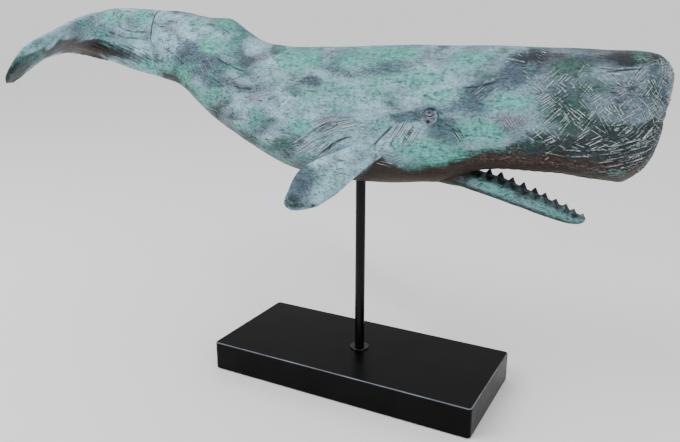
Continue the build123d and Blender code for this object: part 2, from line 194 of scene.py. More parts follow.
def verdigrisResin():
    v = verdigris
    paint = {name: linear(colour) for name, colour in v["colours"].items()}
    material, tree, shader = newMaterial("castPolyresinVerdigris", {"IOR": 1.5, "Specular IOR Level": 0.22})
    inObject = addNode(tree, "TexCoord", output="Object")
    noise = {}
    for order, (name, (size, stretch, detail, rough, half)) in enumerate(v["noises"].items()):
        place = scaledPlace(tree, inObject, (size * stretch * mm, size * mm, size * mm), (0.3 * order,) * 3)
        sockets = {"Vector": place, "Scale": 1, "Detail": detail, "Roughness": rough}
        fac = addNode(tree, "TexNoise", None, sockets, "Fac")
        noise[name] = eased(tree, fac, 0.5 - half, 0.5 + half, -1.0, 1.0, interpolation_type="LINEAR")
    channel = {}
    for name in ("paintA", "paintB", "strokes", "wear", "hatchA", "hatchB"):
        vector = addNode(tree, "Attribute", {"attribute_name": name}, None, "Vector")
        split = addNode(tree, "SeparateXYZ", None, {0: vector}).node.outputs
        channel[name] = (split[0], split[1], split[2], vector)

    def raggedShare(weight, edges, low, high, most=1.0):  # a weight whose edge the noises break up
        for name, reach in edges.items():
            weight = maths(tree, "MULTIPLY_ADD", noise[name], reach, weight)
        return eased(tree, weight, low, high, 0.0, most)

    ash = raggedShare(0.5, v["ashNoises"], *v["ashEdge"])
    colour = mixed(tree, ash, paint["pale"], paint["ash"])
    for name, k, over, edges, most in v["layers"]:
        share = raggedShare(channel[name][k], edges, *v["paintEdge"], most)
        colour = mixed(tree, share, colour, paint[over])
    # sponge grain: every paint is a little lighter and darker from dab to dab
    grain = raggedShare(0.5, v["grainNoises"], 0.0, 1.0)
    colour = mixed(tree, v["grainShare"], colour, grain, blend_type="OVERLAY")

    marks = []
    for name in ("hatchA", "hatchB"):
        sizes = (v["strokeLength"], v["strokeSpacing"], 1e3)
        marks.append((channel[name][3], (0, 0, 0), sizes, channel[name][2], "2D"))
    for turn, length, spacing, most in v["scratches"]:
        clouds = dict(v["scratchClouds"])
        clouds["cloud"] *= 1 if turn > 0 else -1
        share = raggedShare(0.5, clouds, *v["scratchEdge"], most)
        share = maths(tree, "MULTIPLY", share, channel["wear"][0])
        sizes = (length * mm, spacing * mm, spacing * mm)
        marks.append((inObject, (0, math.radians(turn), 0), sizes, share, "3D"))
    light, groove = 0.0, 0.0
    for where, turn, sizes, share, dimensions in marks:
        shift = v["grooveShift"] / v["strokeSpacing"] * sizes[1]
        shares = []
        for offset in (0.0, shift):
            place = scaledPlace(tree, where, sizes, (0, offset, offset), turn)
            settings = {"voronoi_dimensions": dimensions}
            cell = addNode(tree, "TexVoronoi", settings, {"Vector": place, "Scale": 1}, "Distance")
            shares.append(eased(tree, cell, *v["dashEdge"], 0.0, share))
        sunk = maths(tree, "SUBTRACT", shares[1], shares[0], use_clamp=True)
        light = maths(tree, "MULTIPLY_ADD", shares[0], v["dashRub"][dimensions], light)
        groove = maths(tree, "MAXIMUM", sunk, groove)
    cut = maths(tree, "MAXIMUM", groove, channel["strokes"][0])
    cutShare = raggedShare(cut, v["cutNoises"], *v["cutEdge"], v["mostCut"])
    colour = mixed(tree, cutShare, colour, paint["groove"])
    # the rubbed paint on ridges, which also carries the lip rim's painted highlight
    rub = maths(tree, "MULTIPLY_ADD", channel["strokes"][1], v["ridgeRub"], light)
    rubShare = raggedShare(rub, v["rubNoises"], *v["rubEdge"], v["mostRub"])
    rubTone = mixed(tree, channel["strokes"][2], paint["rub"], paint["rubWarm"])
    colour = mixed(tree, rubShare, colour, rubTone)
    tree.links.new(colour, shader.inputs["Base Color"])

    middle, change = v["roughness"]
    rough = maths(tree, "MULTIPLY_ADD", noise["dab"], change, middle)
    tree.links.new(rough, shader.inputs["Roughness"])
    relief = maths(tree, "SUBTRACT", light, groove)
    for name, depth in v["reliefs"].items():
        relief = maths(tree, "MULTIPLY_ADD", noise[name], depth, relief)
    bump = {"Strength": v["bumpStrength"], "Distance": v["bumpDepth"] * mm, "Height": relief}
    tree.links.new(addNode(tree, "Bump", None, bump), shader.inputs["Normal"])
    return material


resin = verdigrisResin()
print("resin paint made")

# Sculpting tools, all in mm


def softNoise(points, size, seed):  # smooth noise from -1 to 1, on a lattice of size mm
    q = points / size + seed * 13.7
    cell = np.floor(q).astype(np.int64)
    f = q - cell
    f = f * f * (3 - 2 * f)
    total = np.zeros(len(points))
    for corner in np.ndindex(2, 2, 2):
        c = cell + corner
        h = (c[:, 0] * 73856093) ^ (c[:, 1] * 19349663) ^ (c[:, 2] * 83492791)
        h = (h * 2654435761) & 0xFFFFFFFF
        h = ((h ^ (h >> 15)) * 2246822519) & 0xFFFFFFFF
        weight = np.prod(np.where(corner, f, 1 - f), axis=1)
        total += weight * (((h >> 8) & 0xFFFF) / 32767.5 - 1)
    return total


def smoothstep(value, low, high):
    t = np.clip((value - low) / (high - low), 0, 1)
    return t * t * (3 - 2 * t)


def hump(distance, width):  # a soft hill of that half width
    return np.exp(-((distance / width) ** 2))


def monotoneCurve(t, values, at):  # smooth through every row and never past it
    step = np.diff(t)[:, None]
    slope = np.diff(values, axis=0) / step
    same = slope[:-1] * slope[1:] > 0
    total = np.where(same, slope[:-1] + slope[1:], 1)
    inner = np.where(same, 2 * slope[:-1] * slope[1:] / total, 0)
    tangent = np.vstack([slope[:1], inner, slope[-1:]])
    k = np.clip(np.searchsorted(t, at) - 1, 0, len(t) - 2)
    h = step[k]
    x = (at[:, None] - t[k][:, None]) / h
    return (
        (2 * x**3 - 3 * x**2 + 1) * values[k]
        + (x**3 - 2 * x**2 + x) * h * tangent[k]
        + (3 * x**2 - 2 * x**3) * values[k + 1]
        + (x**3 - x**2) * h * tangent[k + 1]
    )


def denseRows(rows, scales, spacing, fineFrom=1.0, fineSpacing=1.0):
    # rows every spacing mm, measured along what the scales turn to mm, and closer past a share of the length
    table = np.array(rows, float)
    sized = table * scales
    chord = np.concatenate([[0], np.cumsum(np.linalg.norm(np.diff(sized, axis=0), axis=1))])
    fine = np.linspace(0, chord[-1], 3000)
    smooth = monotoneCurve(chord, table, fine)
    steps = np.linalg.norm(np.diff(smooth * scales, axis=0), axis=1)
    steps /= np.where(smooth[1:, 0] > fineFrom, fineSpacing, spacing)
    run = np.concatenate([[0], np.cumsum(steps)])
    return monotoneCurve(chord, table, np.interp(np.linspace(0, run[-1], int(run[-1]) + 1), run, fine))


def quarterCurve(side, middle, end, full, t):  # the CAD's quarter of a section, widest point to its end
    a, b, c, d = (1 - t) ** 3, 3 * t * (1 - t) ** 2, 3 * t * t * (1 - t), t**3
    across = (a + b) * side + c * full * side
    up = a * middle + b * (middle + full * (end - middle)) + (c + d) * end
    return np.stack([across, up], -1)


def halfSection(side, middle, upper, lower, upperFull, lowerFull, count):  # from the top round the flank
    t = np.linspace(0, 1, 48)
    above = quarterCurve(side, middle, upper, upperFull, t[::-1])
    below = quarterCurve(side, middle, lower, lowerFull, t[1:])
    line = np.vstack([above, below])
    run = np.concatenate([[0], np.cumsum(np.linalg.norm(np.diff(line, axis=0), axis=1))])
    at = np.linspace(0, run[-1], count + 1)
    return np.stack([np.interp(at, run, line[:, 0]), np.interp(at, run, line[:, 1])], -1)


def tubeFaces(rows, columns):  # the sides of a tube of rings, and a face over each end
    first = np.arange(rows - 1)[:, None] * columns
    here, after = np.arange(columns), (np.arange(columns) + 1) % columns
    quads = np.stack([first + here, first + after, first + columns + after, first + columns + here], -1)
    ends = [list(range(columns))[::-1], list(range((rows - 1) * columns, rows * columns))]
    return quads.reshape(-1, 4).tolist() + ends


def newMesh(name, points, faces):
    mesh = bpy.data.meshes.new(name)
    mesh.from_pydata((np.asarray(points) * mm).tolist(), [], faces)
    made = bpy.data.objects.new(name, mesh)
    bpy.context.scene.collection.objects.link(made)
    return made


def applied(piece):  # the piece with its modifiers made real
    graph = bpy.context.evaluated_depsgraph_get()
    mesh = bpy.data.meshes.new_from_object(piece.evaluated_get(graph))
    piece.modifiers.clear()
    old = piece.data
    piece.data = mesh
    bpy.data.meshes.remove(old)
    return piece


def joined(name, *pieces):
    whole = bmesh.new()
    for p in pieces:
        whole.from_mesh(p.data)
        bpy.data.objects.remove(p)
    mesh = bpy.data.meshes.new(name)
    bmesh.ops.recalc_face_normals(whole, faces=whole.faces)
    whole.to_mesh(mesh)
    whole.free()
    made = bpy.data.objects.new(name, mesh)
    bpy.context.scene.collection.objects.link(made)
    return made


def remeshed(piece, voxel, smoothing):
    remesh = piece.modifiers.new("voxels", "REMESH")
    remesh.mode = "VOXEL"
    remesh.voxel_size = voxel * mm
    smooth = piece.modifiers.new("smooth", "SMOOTH")
    smooth.factor, smooth.iterations = 0.5, smoothing
    return applied(piece)


class Skin:  # a mesh being carved: its points, normals, heights and paint, in mm
    def __init__(self, piece):
        self.piece = piece
        count = len(piece.data.vertices)
        flat = np.empty(count * 3, np.float32)
        piece.data.vertices.foreach_get("co", flat)
        self.points = flat.reshape(-1, 3).astype(float) / mm
        piece.data.vertices.foreach_get("normal", flat)
        self.normals = flat.reshape(-1, 3).astype(float).copy()
        self.height = np.zeros(count)
        self.cut, self.rub, self.warm = np.zeros(count), np.zeros(count), np.zeros(count)
        self.wear = np.ones(count)  # how much the fine scratches show
        self.paints = {p: np.zeros(count) for p in ("mint", "slate", "dark", "brown", "green", "mauve")}
        # the painter works from the right; the left side is the same picture shifted a little
        self.rightSide = self.points[:, 1] < 0
        folded = self.points * (1, -1, 1)
        folded[self.rightSide] = self.points[self.rightSide]
        self.pixels = photoPixels(folded)
        drift = np.stack([softNoise(self.points, 55, 3), softNoise(self.points, 55, 4)], -1)
        wobble = np.stack([softNoise(self.points, 9, 13), softNoise(self.points, 9, 14)], -1)
        share = smoothstep(self.points[:, 1], 0, 25)[:, None]
        self.drawn = self.pixels + drift * (1.5 + 16 * share)
        self.painted = self.drawn + drift * 1.5 + wobble * 4.0
        self.hatches = {"hatchA": np.zeros((count, 3)), "hatchB": np.zeros((count, 3))}
        folding = np.where(self.rightSide, 1, -1)[:, None] * (0, 1, 0) + (1, 0, 1)
        facing = (self.normals * folding) @ towardsCamera > 0.05
        onlyLeft = not self.rightSide.any()  # a left hand piece is painted through its mirror image
        self.seen = np.nonzero(facing & (self.rightSide | onlyLeft))[0]
        self.tree = KDTree(len(self.seen))
        for order, place in enumerate(self.pixels[self.seen]):
            self.tree.insert((place[0], place[1], 0), order)
        self.tree.balance()

    def underPixel(self, x, y):  # the point of this skin that the photograph shows at a pixel
        found = self.tree.find_n((x, y, 0), 4)
        weights = np.array([1 / (f[2] + 0.05) for f in found])
        rows = self.seen[[f[1] for f in found]]
        spread = weights / weights.sum()
        return spread @ self.points[rows], spread @ self.normals[rows], found[0][2]

    def stroke(self, start, end, normal, bend, width, depth, ridge, warmth=0.0):
        middle, span = (start + end) / 2, end - start
        length = np.linalg.norm(span)
        if length < 1:
            return
        along = span / length
        side = np.cross(normal, along)
        side /= np.linalg.norm(side) + 1e-9
        reach = length / 2 + 3 * width + abs(bend)
        near = np.nonzero(np.abs(self.points[:, 0] - middle[0]) < reach)[0]
        offset = self.points[near] - middle
        keep = (np.abs(offset[:, 1]) < reach) & (np.abs(offset[:, 2]) < reach)
        keep &= self.normals[near] @ normal > 0.2
        near, offset = near[keep], offset[keep]
        u = offset @ along / (length / 2)
        v = offset @ side - bend * (1 - u * u)
        taper = np.sqrt(np.clip(1 - u * u, 0, 1))
        lifted = hump(v - 0.55 * width, 0.62 * width) * taper
        sunk = hump(v + 0.55 * width, 0.62 * width) * taper
        self.height[near] += ridge * lifted - depth * sunk
        self.rub[near] = np.maximum(self.rub[near], lifted * min(1, ridge / 0.35))
        self.warm[near] = np.maximum(self.warm[near], lifted * warmth)
        self.cut[near] = np.maximum(self.cut[near], sunk * min(1, depth / 0.7))

    def darken(self, amount):  # dark paint in a groove
        self.cut = np.maximum(self.cut, amount)

    def seam(self):  # the glued seam's groove, and pits of the casting
        x, _, z = self.points.T
        shows = 0.25 + 0.75 * smoothstep(z, *anatomy["seamShows"])
        self.height -= anatomy["seamGroove"] * hump(x - seamX, 0.9) * shows
        self.darken(0.6 * hump(x - seamX, 0.7) * shows)
        self.darken(0.35 * smoothstep(-softNoise(self.points, 7, 31), 0.45, 0.9))

    def mottle(self, amounts):  # paints that come and go over the casting, and how much there is all over
        for paint, everywhere in amounts.items():
            amount, size, seed = mottling[paint]
            self.paints[paint] += amount * softNoise(self.points, size, seed) + everywhere

    def hatchField(self, layer, clusters, pixelSize=0.78):  # one pixel is 0.78 mm on the flank
        # every group of parallel strokes gives its own ruled coordinates, in mm, to the points it covers
        across, down = self.drawn.T
        best, second = np.zeros(len(across)), np.zeros(len(across))
        ruled = self.hatches[layer]
        strengths = np.zeros(len(across))
        for order, (x, y, angle, halfLength, halfWidth, strength) in enumerate(clusters):
            c, s = math.cos(math.radians(angle)), math.sin(math.radians(angle))
            u, v = (across - x) * c + (down - y) * s, (down - y) * c - (across - x) * s
            weight = np.clip(1.3 - np.maximum(np.abs(u) / halfLength, np.abs(v) / halfWidth), 0, 1)
            winning = weight > best
            second = np.where(winning, best, np.maximum(second, weight))
            best = np.where(winning, weight, best)
            strengths[winning] = strength
            ruled[winning, 0] = u[winning] * pixelSize + 137.0 * order
            ruled[winning, 1] = v[winning] * pixelSize + 91.0 * order
        ruled[:, 2] = strengths * smoothstep(best, 0, 0.4) * smoothstep(best - second, 0, 0.1)

    def photoStroke(self, line, width, depth, ridge, warmth=0.0, bend=0.0):
        # a stroke from its pixels, and the same one on the hidden side, a little off
        for (x0, y0), (x1, y1) in zip(line, line[1:]):
            start, normal, miss = self.underPixel(x0, y0)
            end, otherNormal, otherMiss = self.underPixel(x1, y1)
            if max(miss, otherMiss) > 3:
                continue
            normal = normal + otherNormal
            normal /= np.linalg.norm(normal)
            self.stroke(start, end, normal, bend, width, depth, ridge, warmth)
            shift = np.array([dice.uniform(-5, 5), 0, dice.uniform(-3, 3)])
            flip = np.array([1, -1, 1])
            places = (start * flip + shift, end * flip + shift, normal * flip)
            self.stroke(*places, bend, width, depth, ridge, warmth)

    def randomStrokes(self, amount, region, size, spread, turn, width, depth, ridge, warmth):
        # groups of parallel strokes at random places where region allows them
        chosen = np.nonzero(region)[0]
        for _ in range(amount):
            vertex = dice.choice(chosen)
            normal = self.normals[vertex]
            flow = np.cross(np.cross(normal, (1.0, 0, 0)), normal)
            flow /= np.linalg.norm(flow) + 1e-9
            across = np.cross(normal, flow)
            angle = math.radians(dice.uniform(*turn))
            along = flow * math.cos(angle) + across * math.sin(angle)
            beside = np.cross(normal, along)
            for row in range(dice.integers(1, spread[0] + 1)):
                place = self.points[vertex] + beside * row * spread[1] * dice.uniform(0.8, 1.2)
                place = place + along * dice.uniform(-2, 2)
                half = along * dice.uniform(*size) / 2
                sharp = dice.uniform(0.6, 1.0)
                bend = dice.uniform(-0.8, 0.8)
                form = (bend, width, depth * sharp, ridge * sharp, warmth * dice.uniform(0, 1))
                self.stroke(place - half, place + half, normal, *form)

    def patch(self, paint, x, y, acrossRadius, downRadius, strength=1.0, tilt=0.0):
        dx, dy = self.painted[:, 0] - x, self.painted[:, 1] - y
        c, s = math.cos(math.radians(tilt)), math.sin(math.radians(tilt))
        far = ((dx * c + dy * s) / acrossRadius) ** 2 + ((-dx * s + dy * c) / downRadius) ** 2
        self.paints[paint] += strength * np.exp(-(far**1.5) * 0.7)

    def patches(self, table):
        for paint, entries in table.items():
            for entry in entries:
                self.patch(paint, *entry)

    def dabs(self, amount, region, paints, size, strength):  # small sponge marks at random places of a region
        chosen = np.nonzero(region)[0]
        for _ in range(amount):
            dabX, dabY = self.painted[dice.choice(chosen)]
            sizes = dice.uniform(*size, 2) * (1.6, 1.0)
            paint = dice.choice(paints)
            self.patch(paint, dabX, dabY, *sizes, dice.uniform(*strength), dice.uniform(-30, 30))

    def finish(self):
        self.rub *= 1 - 0.7 * np.clip(self.cut, 0, 1)
        self.points += self.normals * self.height[:, None]
        mesh = self.piece.data
        mesh.vertices.foreach_set("co", (self.points * mm).astype(np.float32).ravel())
        paint = self.paints
        for name, three in (
            ("paintA", (paint["mint"], paint["slate"], paint["dark"])),
            ("paintB", (paint["brown"], paint["green"], paint["mauve"])),
            ("strokes", (self.cut, self.rub, self.warm)),
            ("wear", (self.wear, self.wear, self.wear)),
            *((layer, ruled.T) for layer, ruled in self.hatches.items()),
        ):
            layer = mesh.attributes.new(name, "FLOAT_VECTOR", "POINT")
            layer.data.foreach_set("vector", np.stack(three, -1).astype(np.float32).ravel())
        mesh.polygons.foreach_set("use_smooth", np.ones(len(mesh.polygons), bool))
        mesh.materials.clear()
        mesh.materials.append(resin)
        mesh.update()
        return self.piece


dice = np.random.default_rng(11)
# amount, size in mm and seed of the paints' noise
mottling = {"slate": (0.22, 26, 21), "mauve": (0.25, 22, 22), "mint": (0.24, 24, 23)}

# The whale's body: one casting from the snout to the tail seam

whale = {
    "length": 544,
    "halfWidth": 44,
    "depth": 106,
    "belly": 170,
    "seam": -0.362,
    "rowSpacing": 0.95,
    "headFrom": 0.18,  # share of the length where the closely carved head starts
    "headSpacing": 0.62,
    "columns": 205,  # from the back round one flank to the belly
    "snoutSteps": 8,  # rings that close the snout's face
    "tailSpacing": 1.2,
    "tailColumns": 60,
    # along, back, belly, half width, widest point, fullness above and below
    "sections": [
        (-0.560, 1.030, 0.925, 0.110, 0.50, 0.55, 0.55),
        (-0.535, 1.120, 0.905, 0.165, 0.50, 0.50, 0.55),
        (-0.508, 1.212, 0.865, 0.205, 0.50, 0.50, 0.55),
        (-0.485, 1.254, 0.826, 0.225, 0.50, 0.50, 0.55),
        (-0.458, 1.266, 0.792, 0.240, 0.50, 0.52, 0.55),
        (-0.427, 1.264, 0.752, 0.260, 0.50, 0.55, 0.55),
        (-0.395, 1.255, 0.722, 0.290, 0.50, 0.55, 0.55),
        (-0.362, 1.243, 0.692, 0.333, 0.50, 0.55, 0.55),
        (-0.336, 1.236, 0.664, 0.378, 0.50, 0.55, 0.55),
        (-0.307, 1.221, 0.594, 0.448, 0.50, 0.52, 0.55),
        (-0.281, 1.195, 0.497, 0.525, 0.50, 0.50, 0.55),
        (-0.254, 1.178, 0.404, 0.612, 0.50, 0.46, 0.56),
        (-0.226, 1.172, 0.322, 0.695, 0.50, 0.42, 0.57),
        (-0.200, 1.088, 0.258, 0.770, 0.50, 0.46, 0.58),
        (-0.176, 1.018, 0.205, 0.832, 0.50, 0.52, 0.58),
        (-0.151, 0.986, 0.150, 0.882, 0.50, 0.56, 0.58),
        (-0.103, 0.972, 0.060, 0.955, 0.50, 0.58, 0.58),
        (-0.033, 0.974, 0.008, 1.000, 0.50, 0.59, 0.58),
        (0.040, 0.990, 0.020, 0.988, 0.51, 0.60, 0.58),
        (0.092, 0.997, 0.050, 0.935, 0.53, 0.62, 0.58),
        (0.125, 0.998, 0.072, 0.890, 0.55, 0.64, 0.58),
        (0.145, 0.998, 0.104, 0.862, 0.56, 0.66, 0.60),
        (0.165, 0.998, 0.148, 0.845, 0.57, 0.68, 0.62),
        (0.190, 0.998, 0.188, 0.825, 0.58, 0.70, 0.64),
        (0.226, 0.996, 0.207, 0.805, 0.60, 0.72, 0.66),
        (0.276, 0.988, 0.210, 0.790, 0.60, 0.72, 0.66),
        (0.320, 0.980, 0.194, 0.768, 0.60, 0.72, 0.66),
        (0.349, 0.980, 0.192, 0.727, 0.58, 0.72, 0.66),
        (0.368, 0.972, 0.246, 0.660, 0.57, 0.70, 0.64),
        (0.3805, 0.950, 0.322, 0.570, 0.56, 0.66, 0.62),
        (0.3880, 0.914, 0.432, 0.460, 0.55, 0.62, 0.60),
        (0.3918, 0.880, 0.545, 0.360, 0.54, 0.58, 0.58),
        (0.3945, 0.848, 0.680, 0.240, 0.53, 0.56, 0.56),
        (0.3953, 0.826, 0.745, 0.140, 0.53, 0.55, 0.55),
    ],
}
sectionScales = (whale["length"], whale["depth"], whale["depth"], whale["halfWidth"], 0, 0, 0)


def upWhale(share):  # the height of a share of the whale's depth, above its belly
    return whale["belly"] + share * whale["depth"]


def mirroredRing(along, half):  # down the right flank and up the left one
    right = np.stack([np.full(len(half), along * whale["length"]), -half[:, 0], half[:, 1]], -1)
    return np.vstack([right, (right * (1, -1, 1))[1:-1][::-1]])


def whaleTube(rows, columns):  # rings of points round the whale
    rings = []
    for along, back, belly, width, widest, upperFull, lowerFull in rows:
        upper, lower = upWhale(back), upWhale(belly)
        middle = lower + widest * (upper - lower)
        half = halfSection(width * whale["halfWidth"], middle, upper, lower, upperFull, lowerFull, columns)
        rings.append(mirroredRing(along, half))
    return np.array(rings)


def closedTube(name, rings, endSteps=1):  # the last ring is drawn in to its middle in so many steps
    last, centre = rings[-1], rings[-1].mean(0)
    shares = 1 - np.arange(1, endSteps) / endSteps
    rings = np.concatenate([rings, centre + (last - centre) * shares[:, None, None]])
    return newMesh(name, rings.reshape(-1, 3), tubeFaces(*rings.shape[:2]))


seamX = whale["seam"] * whale["length"]
bodyRows = denseRows(
    whale["sections"], sectionScales, whale["rowSpacing"], whale["headFrom"], whale["headSpacing"]
)
bodyRows = bodyRows[bodyRows[:, 0] >= whale["seam"]]
seamRow = bodyRows[0].copy()
seamRow[0] = whale["seam"] + 0.0002
bodyRows[0] = seamRow
bodyPiece = closedTube("whale_body_cast", whaleTube(bodyRows, whale["columns"]), whale["snoutSteps"])
print("body mesh:", len(bodyPiece.data.vertices), "points")

# What the photograph shows on the right flank: paint patches and strokes, by pixel
flankPatches = {
    # x, y, radius across, radius down, strength, tilt
    "mint": (
        (228, 24, 11, 6, 1.0, 20), (215, 47, 16, 7, 0.6, 10), (300, 60, 20, 12, 0.55, 0),
        (172, 71, 13, 6, 0.8, 25), (252, 118, 8, 8, 0.5, 0), (300, 128, 12, 7, 0.5, 0),
        (217, 105, 12, 9, 0.45, 30), (196, 95, 9, 8, 0.6, 40), (312, 58, 18, 8, 0.5, 0),
        (357, 57, 22, 8, 0.75, -5), (400, 50, 22, 6, 0.7, 0), (430, 76, 28, 7, 0.45, -5),
        (437, 94, 22, 6, 0.55, 0), (482, 130, 20, 9, 1.1, 10), (510, 102, 20, 8, 0.95, 0),
        (424, 150, 24, 12, 1.1, 10), (340, 90, 16, 8, 0.4, 0), (470, 62, 26, 6, 0.7, -5),
        (575, 172, 22, 3, 0.55, 5), (370, 88, 16, 8, 0.4, 0), (452, 160, 14, 7, 0.6, -10),
        (275, 40, 14, 6, 0.45, 10), (188, 28, 10, 5, 0.4, 10), (340, 112, 12, 5, 0.5, 0),
        (330, 100, 26, 7, 0.3, 0), (600, 174, 28, 4, 0.9, 3), (626, 78, 18, 5, 0.3, -20),
        (412, 78, 26, 6, 0.35, 0),
    ),
    "slate": (
        (195, 56, 20, 14, 0.8, 40), (312, 84, 14, 5, 0.8, 0), (250, 134, 12, 16, 0.5, 40),
        (383, 68, 20, 9, 0.75, -10), (407, 115, 16, 6, 1.15, -5), (448, 131, 18, 12, 1.3, 30),
        (475, 103, 16, 12, 0.8, 30), (322, 66, 14, 6, 0.8, 0), (517, 72, 22, 9, 0.85, -5),
        (340, 58, 10, 5, 0.6, 0), (266, 88, 20, 7, 0.4, 10), (222, 68, 14, 8, 0.55, 10),
        (632, 104, 26, 20, 0.3, 0), (657, 90, 8, 26, 0.55, 0), (375, 130, 14, 10, 0.55, -45),
        (280, 150, 16, 8, 0.45, 30), (560, 100, 20, 14, 0.4, 0), (404, 92, 14, 6, 0.45, 0),
        (448, 106, 10, 6, 0.4, 0), (240, 60, 12, 10, 0.5, 0), (210, 82, 10, 8, 0.5, 40),
        # painted highlight: the slate at (658, 68), with the dark taken away there below, lightens the
        # snout's rounded top corner
        (346, 72, 12, 5, 0.5, 10), (658, 68, 6, 6, 0.3, 0), (430, 92, 34, 10, -0.3, 0),
        (600, 56, 46, 9, 0.2, 0), (476, 90, 18, 9, 0.8, -30), (506, 86, 20, 7, 0.4, -10),
    ),
    "dark": (
        (660, 96, 7, 28, 0.3, 0), (605, 59, 34, 9, 0.5, 0), (642, 56, 26, 9, 0.55, 0),
        (533, 58, 34, 8, 0.45, -3), (560, 144, 36, 9, 1.15, 5), (620, 142, 34, 15, 1.15, 0),
        (650, 150, 16, 22, 0.9, 0), (585, 160, 44, 9, 1.0, 5), (556, 88, 22, 12, 0.35, 0),
        (610, 165, 36, 9, 1.0, 0), (520, 152, 24, 6, 0.9, -8), (655, 125, 10, 10, 0.6, 0),
        (600, 100, 22, 12, 0.3, 0), (636, 128, 22, 10, 0.45, 0), (637, 85, 14, 8, 0.25, 0),
        # (425, 171), (455, 164) and, on the next line, (490, 157): painted shade along the flank's lower edge
        (575, 122, 24, 12, 0.4, 0), (425, 171, 18, 8, 0.55, 0), (455, 164, 22, 9, 0.6, -16),
        # (658, 68) with a negative strength takes the dark away for the painted highlight on the snout's top
        # corner
        (490, 157, 24, 8, 0.65, -12), (658, 68, 6, 5, -0.6, 0), (612, 100, 22, 12, -0.2, 0),
        (669, 100, 5, 40, 0.55, 0), (634, 100, 26, 24, -0.5, 0), (600, 174, 28, 4, -0.4, 3),
    ),
    "mauve": (
        (170, 28, 12, 8, 0.6, 10), (245, 92, 26, 9, 0.55, 5), (290, 76, 20, 8, 0.5, 0),
        (507, 124, 16, 9, 0.8, -10), (622, 98, 14, 11, 0.75, 0), (405, 68, 14, 6, 0.5, 0),
        (225, 120, 16, 12, 0.5, 40), (365, 74, 16, 8, 0.4, 0), (412, 104, 16, 6, 0.5, 0),
        (330, 125, 24, 12, 0.6, -20), (540, 60, 24, 6, 0.7, 0), (395, 160, 12, 8, 0.6, 0),
        (430, 92, 34, 10, -0.25, 0), (430, 62, 18, 4, 0.4, 0), (420, 84, 12, 4, 0.6, 0),
        (606, 54, 44, 8, 0.6, 0), (636, 92, 20, 18, 0.35, 0),
    ),
    "green": (
        (568, 116, 20, 16, 1.0, 0), (563, 68, 18, 9, 0.8, 0), (480, 75, 14, 4, 0.6, -5),
        (605, 128, 20, 10, 0.5, 0), (590, 86, 18, 10, 0.55, 0), (560, 166, 40, 5, 0.7, 3),
        (350, 155, 10, 4, 0.5, 0), (212, 112, 7, 6, 0.4, 40), (655, 95, 8, 14, 0.5, 0),
        (180, 78, 8, 5, 0.5, 30), (520, 108, 10, 4, 0.4, 0),
    ),
    "brown": (
        # mostly painted shade: brown along the lower edge, where the flank turns under, and under the fin;
        # the two on the head's top, (602, 50) and (642, 55), are paint
        (545, 162, 50, 8, 0.95, 3), (480, 165, 32, 9, 0.75, -14), (435, 177, 42, 10, 0.75, -8),
        (385, 172, 18, 7, 1.2, 0), (377, 160, 7, 9, 1.0, -30), (602, 50, 34, 8, 0.2, 0),
        (630, 172, 30, 5, 0.5, 0), (330, 175, 40, 6, 0.5, 20), (620, 160, 30, 6, 0.5, 0),
        (642, 55, 24, 8, 0.15, 0),
    ),
}
flankGrooves = (
    # pixels along the groove, width, depth, ridge
    (((163, 46), (174, 54), (185, 64)), 1.0, 0.8, 0.15), (((216, 57), (230, 65), (245, 71)), 1.1, 0.9, 0.1),
    (((234, 86), (243, 88), (252, 88)), 0.9, 0.6, 0.1), (((223, 28), (231, 34)), 0.9, 0.6, 0.1),
    (((306, 123), (330, 116), (355, 117)), 1.0, 0.5, 0.2),
    (((310, 131), (330, 122), (352, 119)), 1.0, 0.5, 0.25),
    (((304, 135), (318, 127), (328, 122)), 1.1, 0.6, 0.3),
    (((311, 129), (328, 126), (350, 121)), 1.0, 0.5, 0.3),
    (((318, 154), (330, 145), (346, 136)), 1.2, 0.9, 0.4),
    (((326, 150), (333, 141), (352, 135)), 1.2, 0.8, 0.3),
    (((296, 150), (312, 141), (333, 133)), 1.0, 0.5, 0.2),
    (((294, 145), (310, 133), (328, 128)), 1.0, 0.4, 0.2),
    (((365, 155), (378, 139), (393, 124)), 1.2, 1.1, 0.2),
    (((370, 148), (384, 133), (391, 126)), 1.0, 0.8, 0.2),
    (((388, 147), (395, 135), (404, 122)), 1.0, 0.7, 0.4),
    (((400, 147), (406, 136), (412, 124)), 1.0, 0.7, 0.4), (((348, 92), (350, 106)), 0.8, 0.5, 0.0),
    (((353, 96), (357, 106)), 0.8, 0.5, 0.0), (((384, 83), (410, 80)), 0.9, 0.5, 0.1),
    (((462, 87), (480, 86), (492, 82)), 1.0, 0.7, 0.1), (((452, 128), (460, 140)), 0.9, 0.7, 0.1),
    (((457, 126), (465, 138)), 0.9, 0.7, 0.1), (((443, 122), (452, 127), (460, 134)), 1.0, 0.6, 0.1),
    (((330, 130), (341, 118)), 0.9, 0.5, 0.0), (((604, 148), (628, 144), (654, 134)), 0.9, 0.6, 0.7),
    (((608, 152), (632, 148), (656, 138)), 0.9, 0.5, 0.6),
    (((598, 156), (624, 152), (652, 143)), 0.9, 0.6, 0.6),
    (((606, 160), (630, 156), (654, 147)), 0.9, 0.5, 0.5),
    (((594, 164), (620, 160), (648, 151)), 0.9, 0.6, 0.7),
    (((602, 168), (624, 164), (648, 156)), 0.9, 0.6, 0.6),
    (((596, 173), (618, 169), (642, 161)), 0.9, 0.5, 0.6),
    (((606, 176), (622, 173), (638, 166)), 0.9, 0.5, 0.5),
    (((560, 150), (584, 152), (606, 150)), 0.9, 0.5, 0.5),
    (((540, 152), (566, 157), (594, 157)), 0.9, 0.5, 0.4), (((600, 72), (646, 68)), 1.0, 0.7, 0.25),
    (((606, 75), (625, 75)), 0.9, 0.5, 0.4), (((500, 58), (530, 64)), 0.9, 0.5, 0.3),
    (((467, 95), (480, 84), (505, 80)), 1.1, 0.5, 0.2), (((475, 92), (490, 82), (500, 78)), 1.1, 0.5, 0.2),
    (((664, 118), (662, 122), (665, 127)), 1.6, 1.6, 0.0),
)
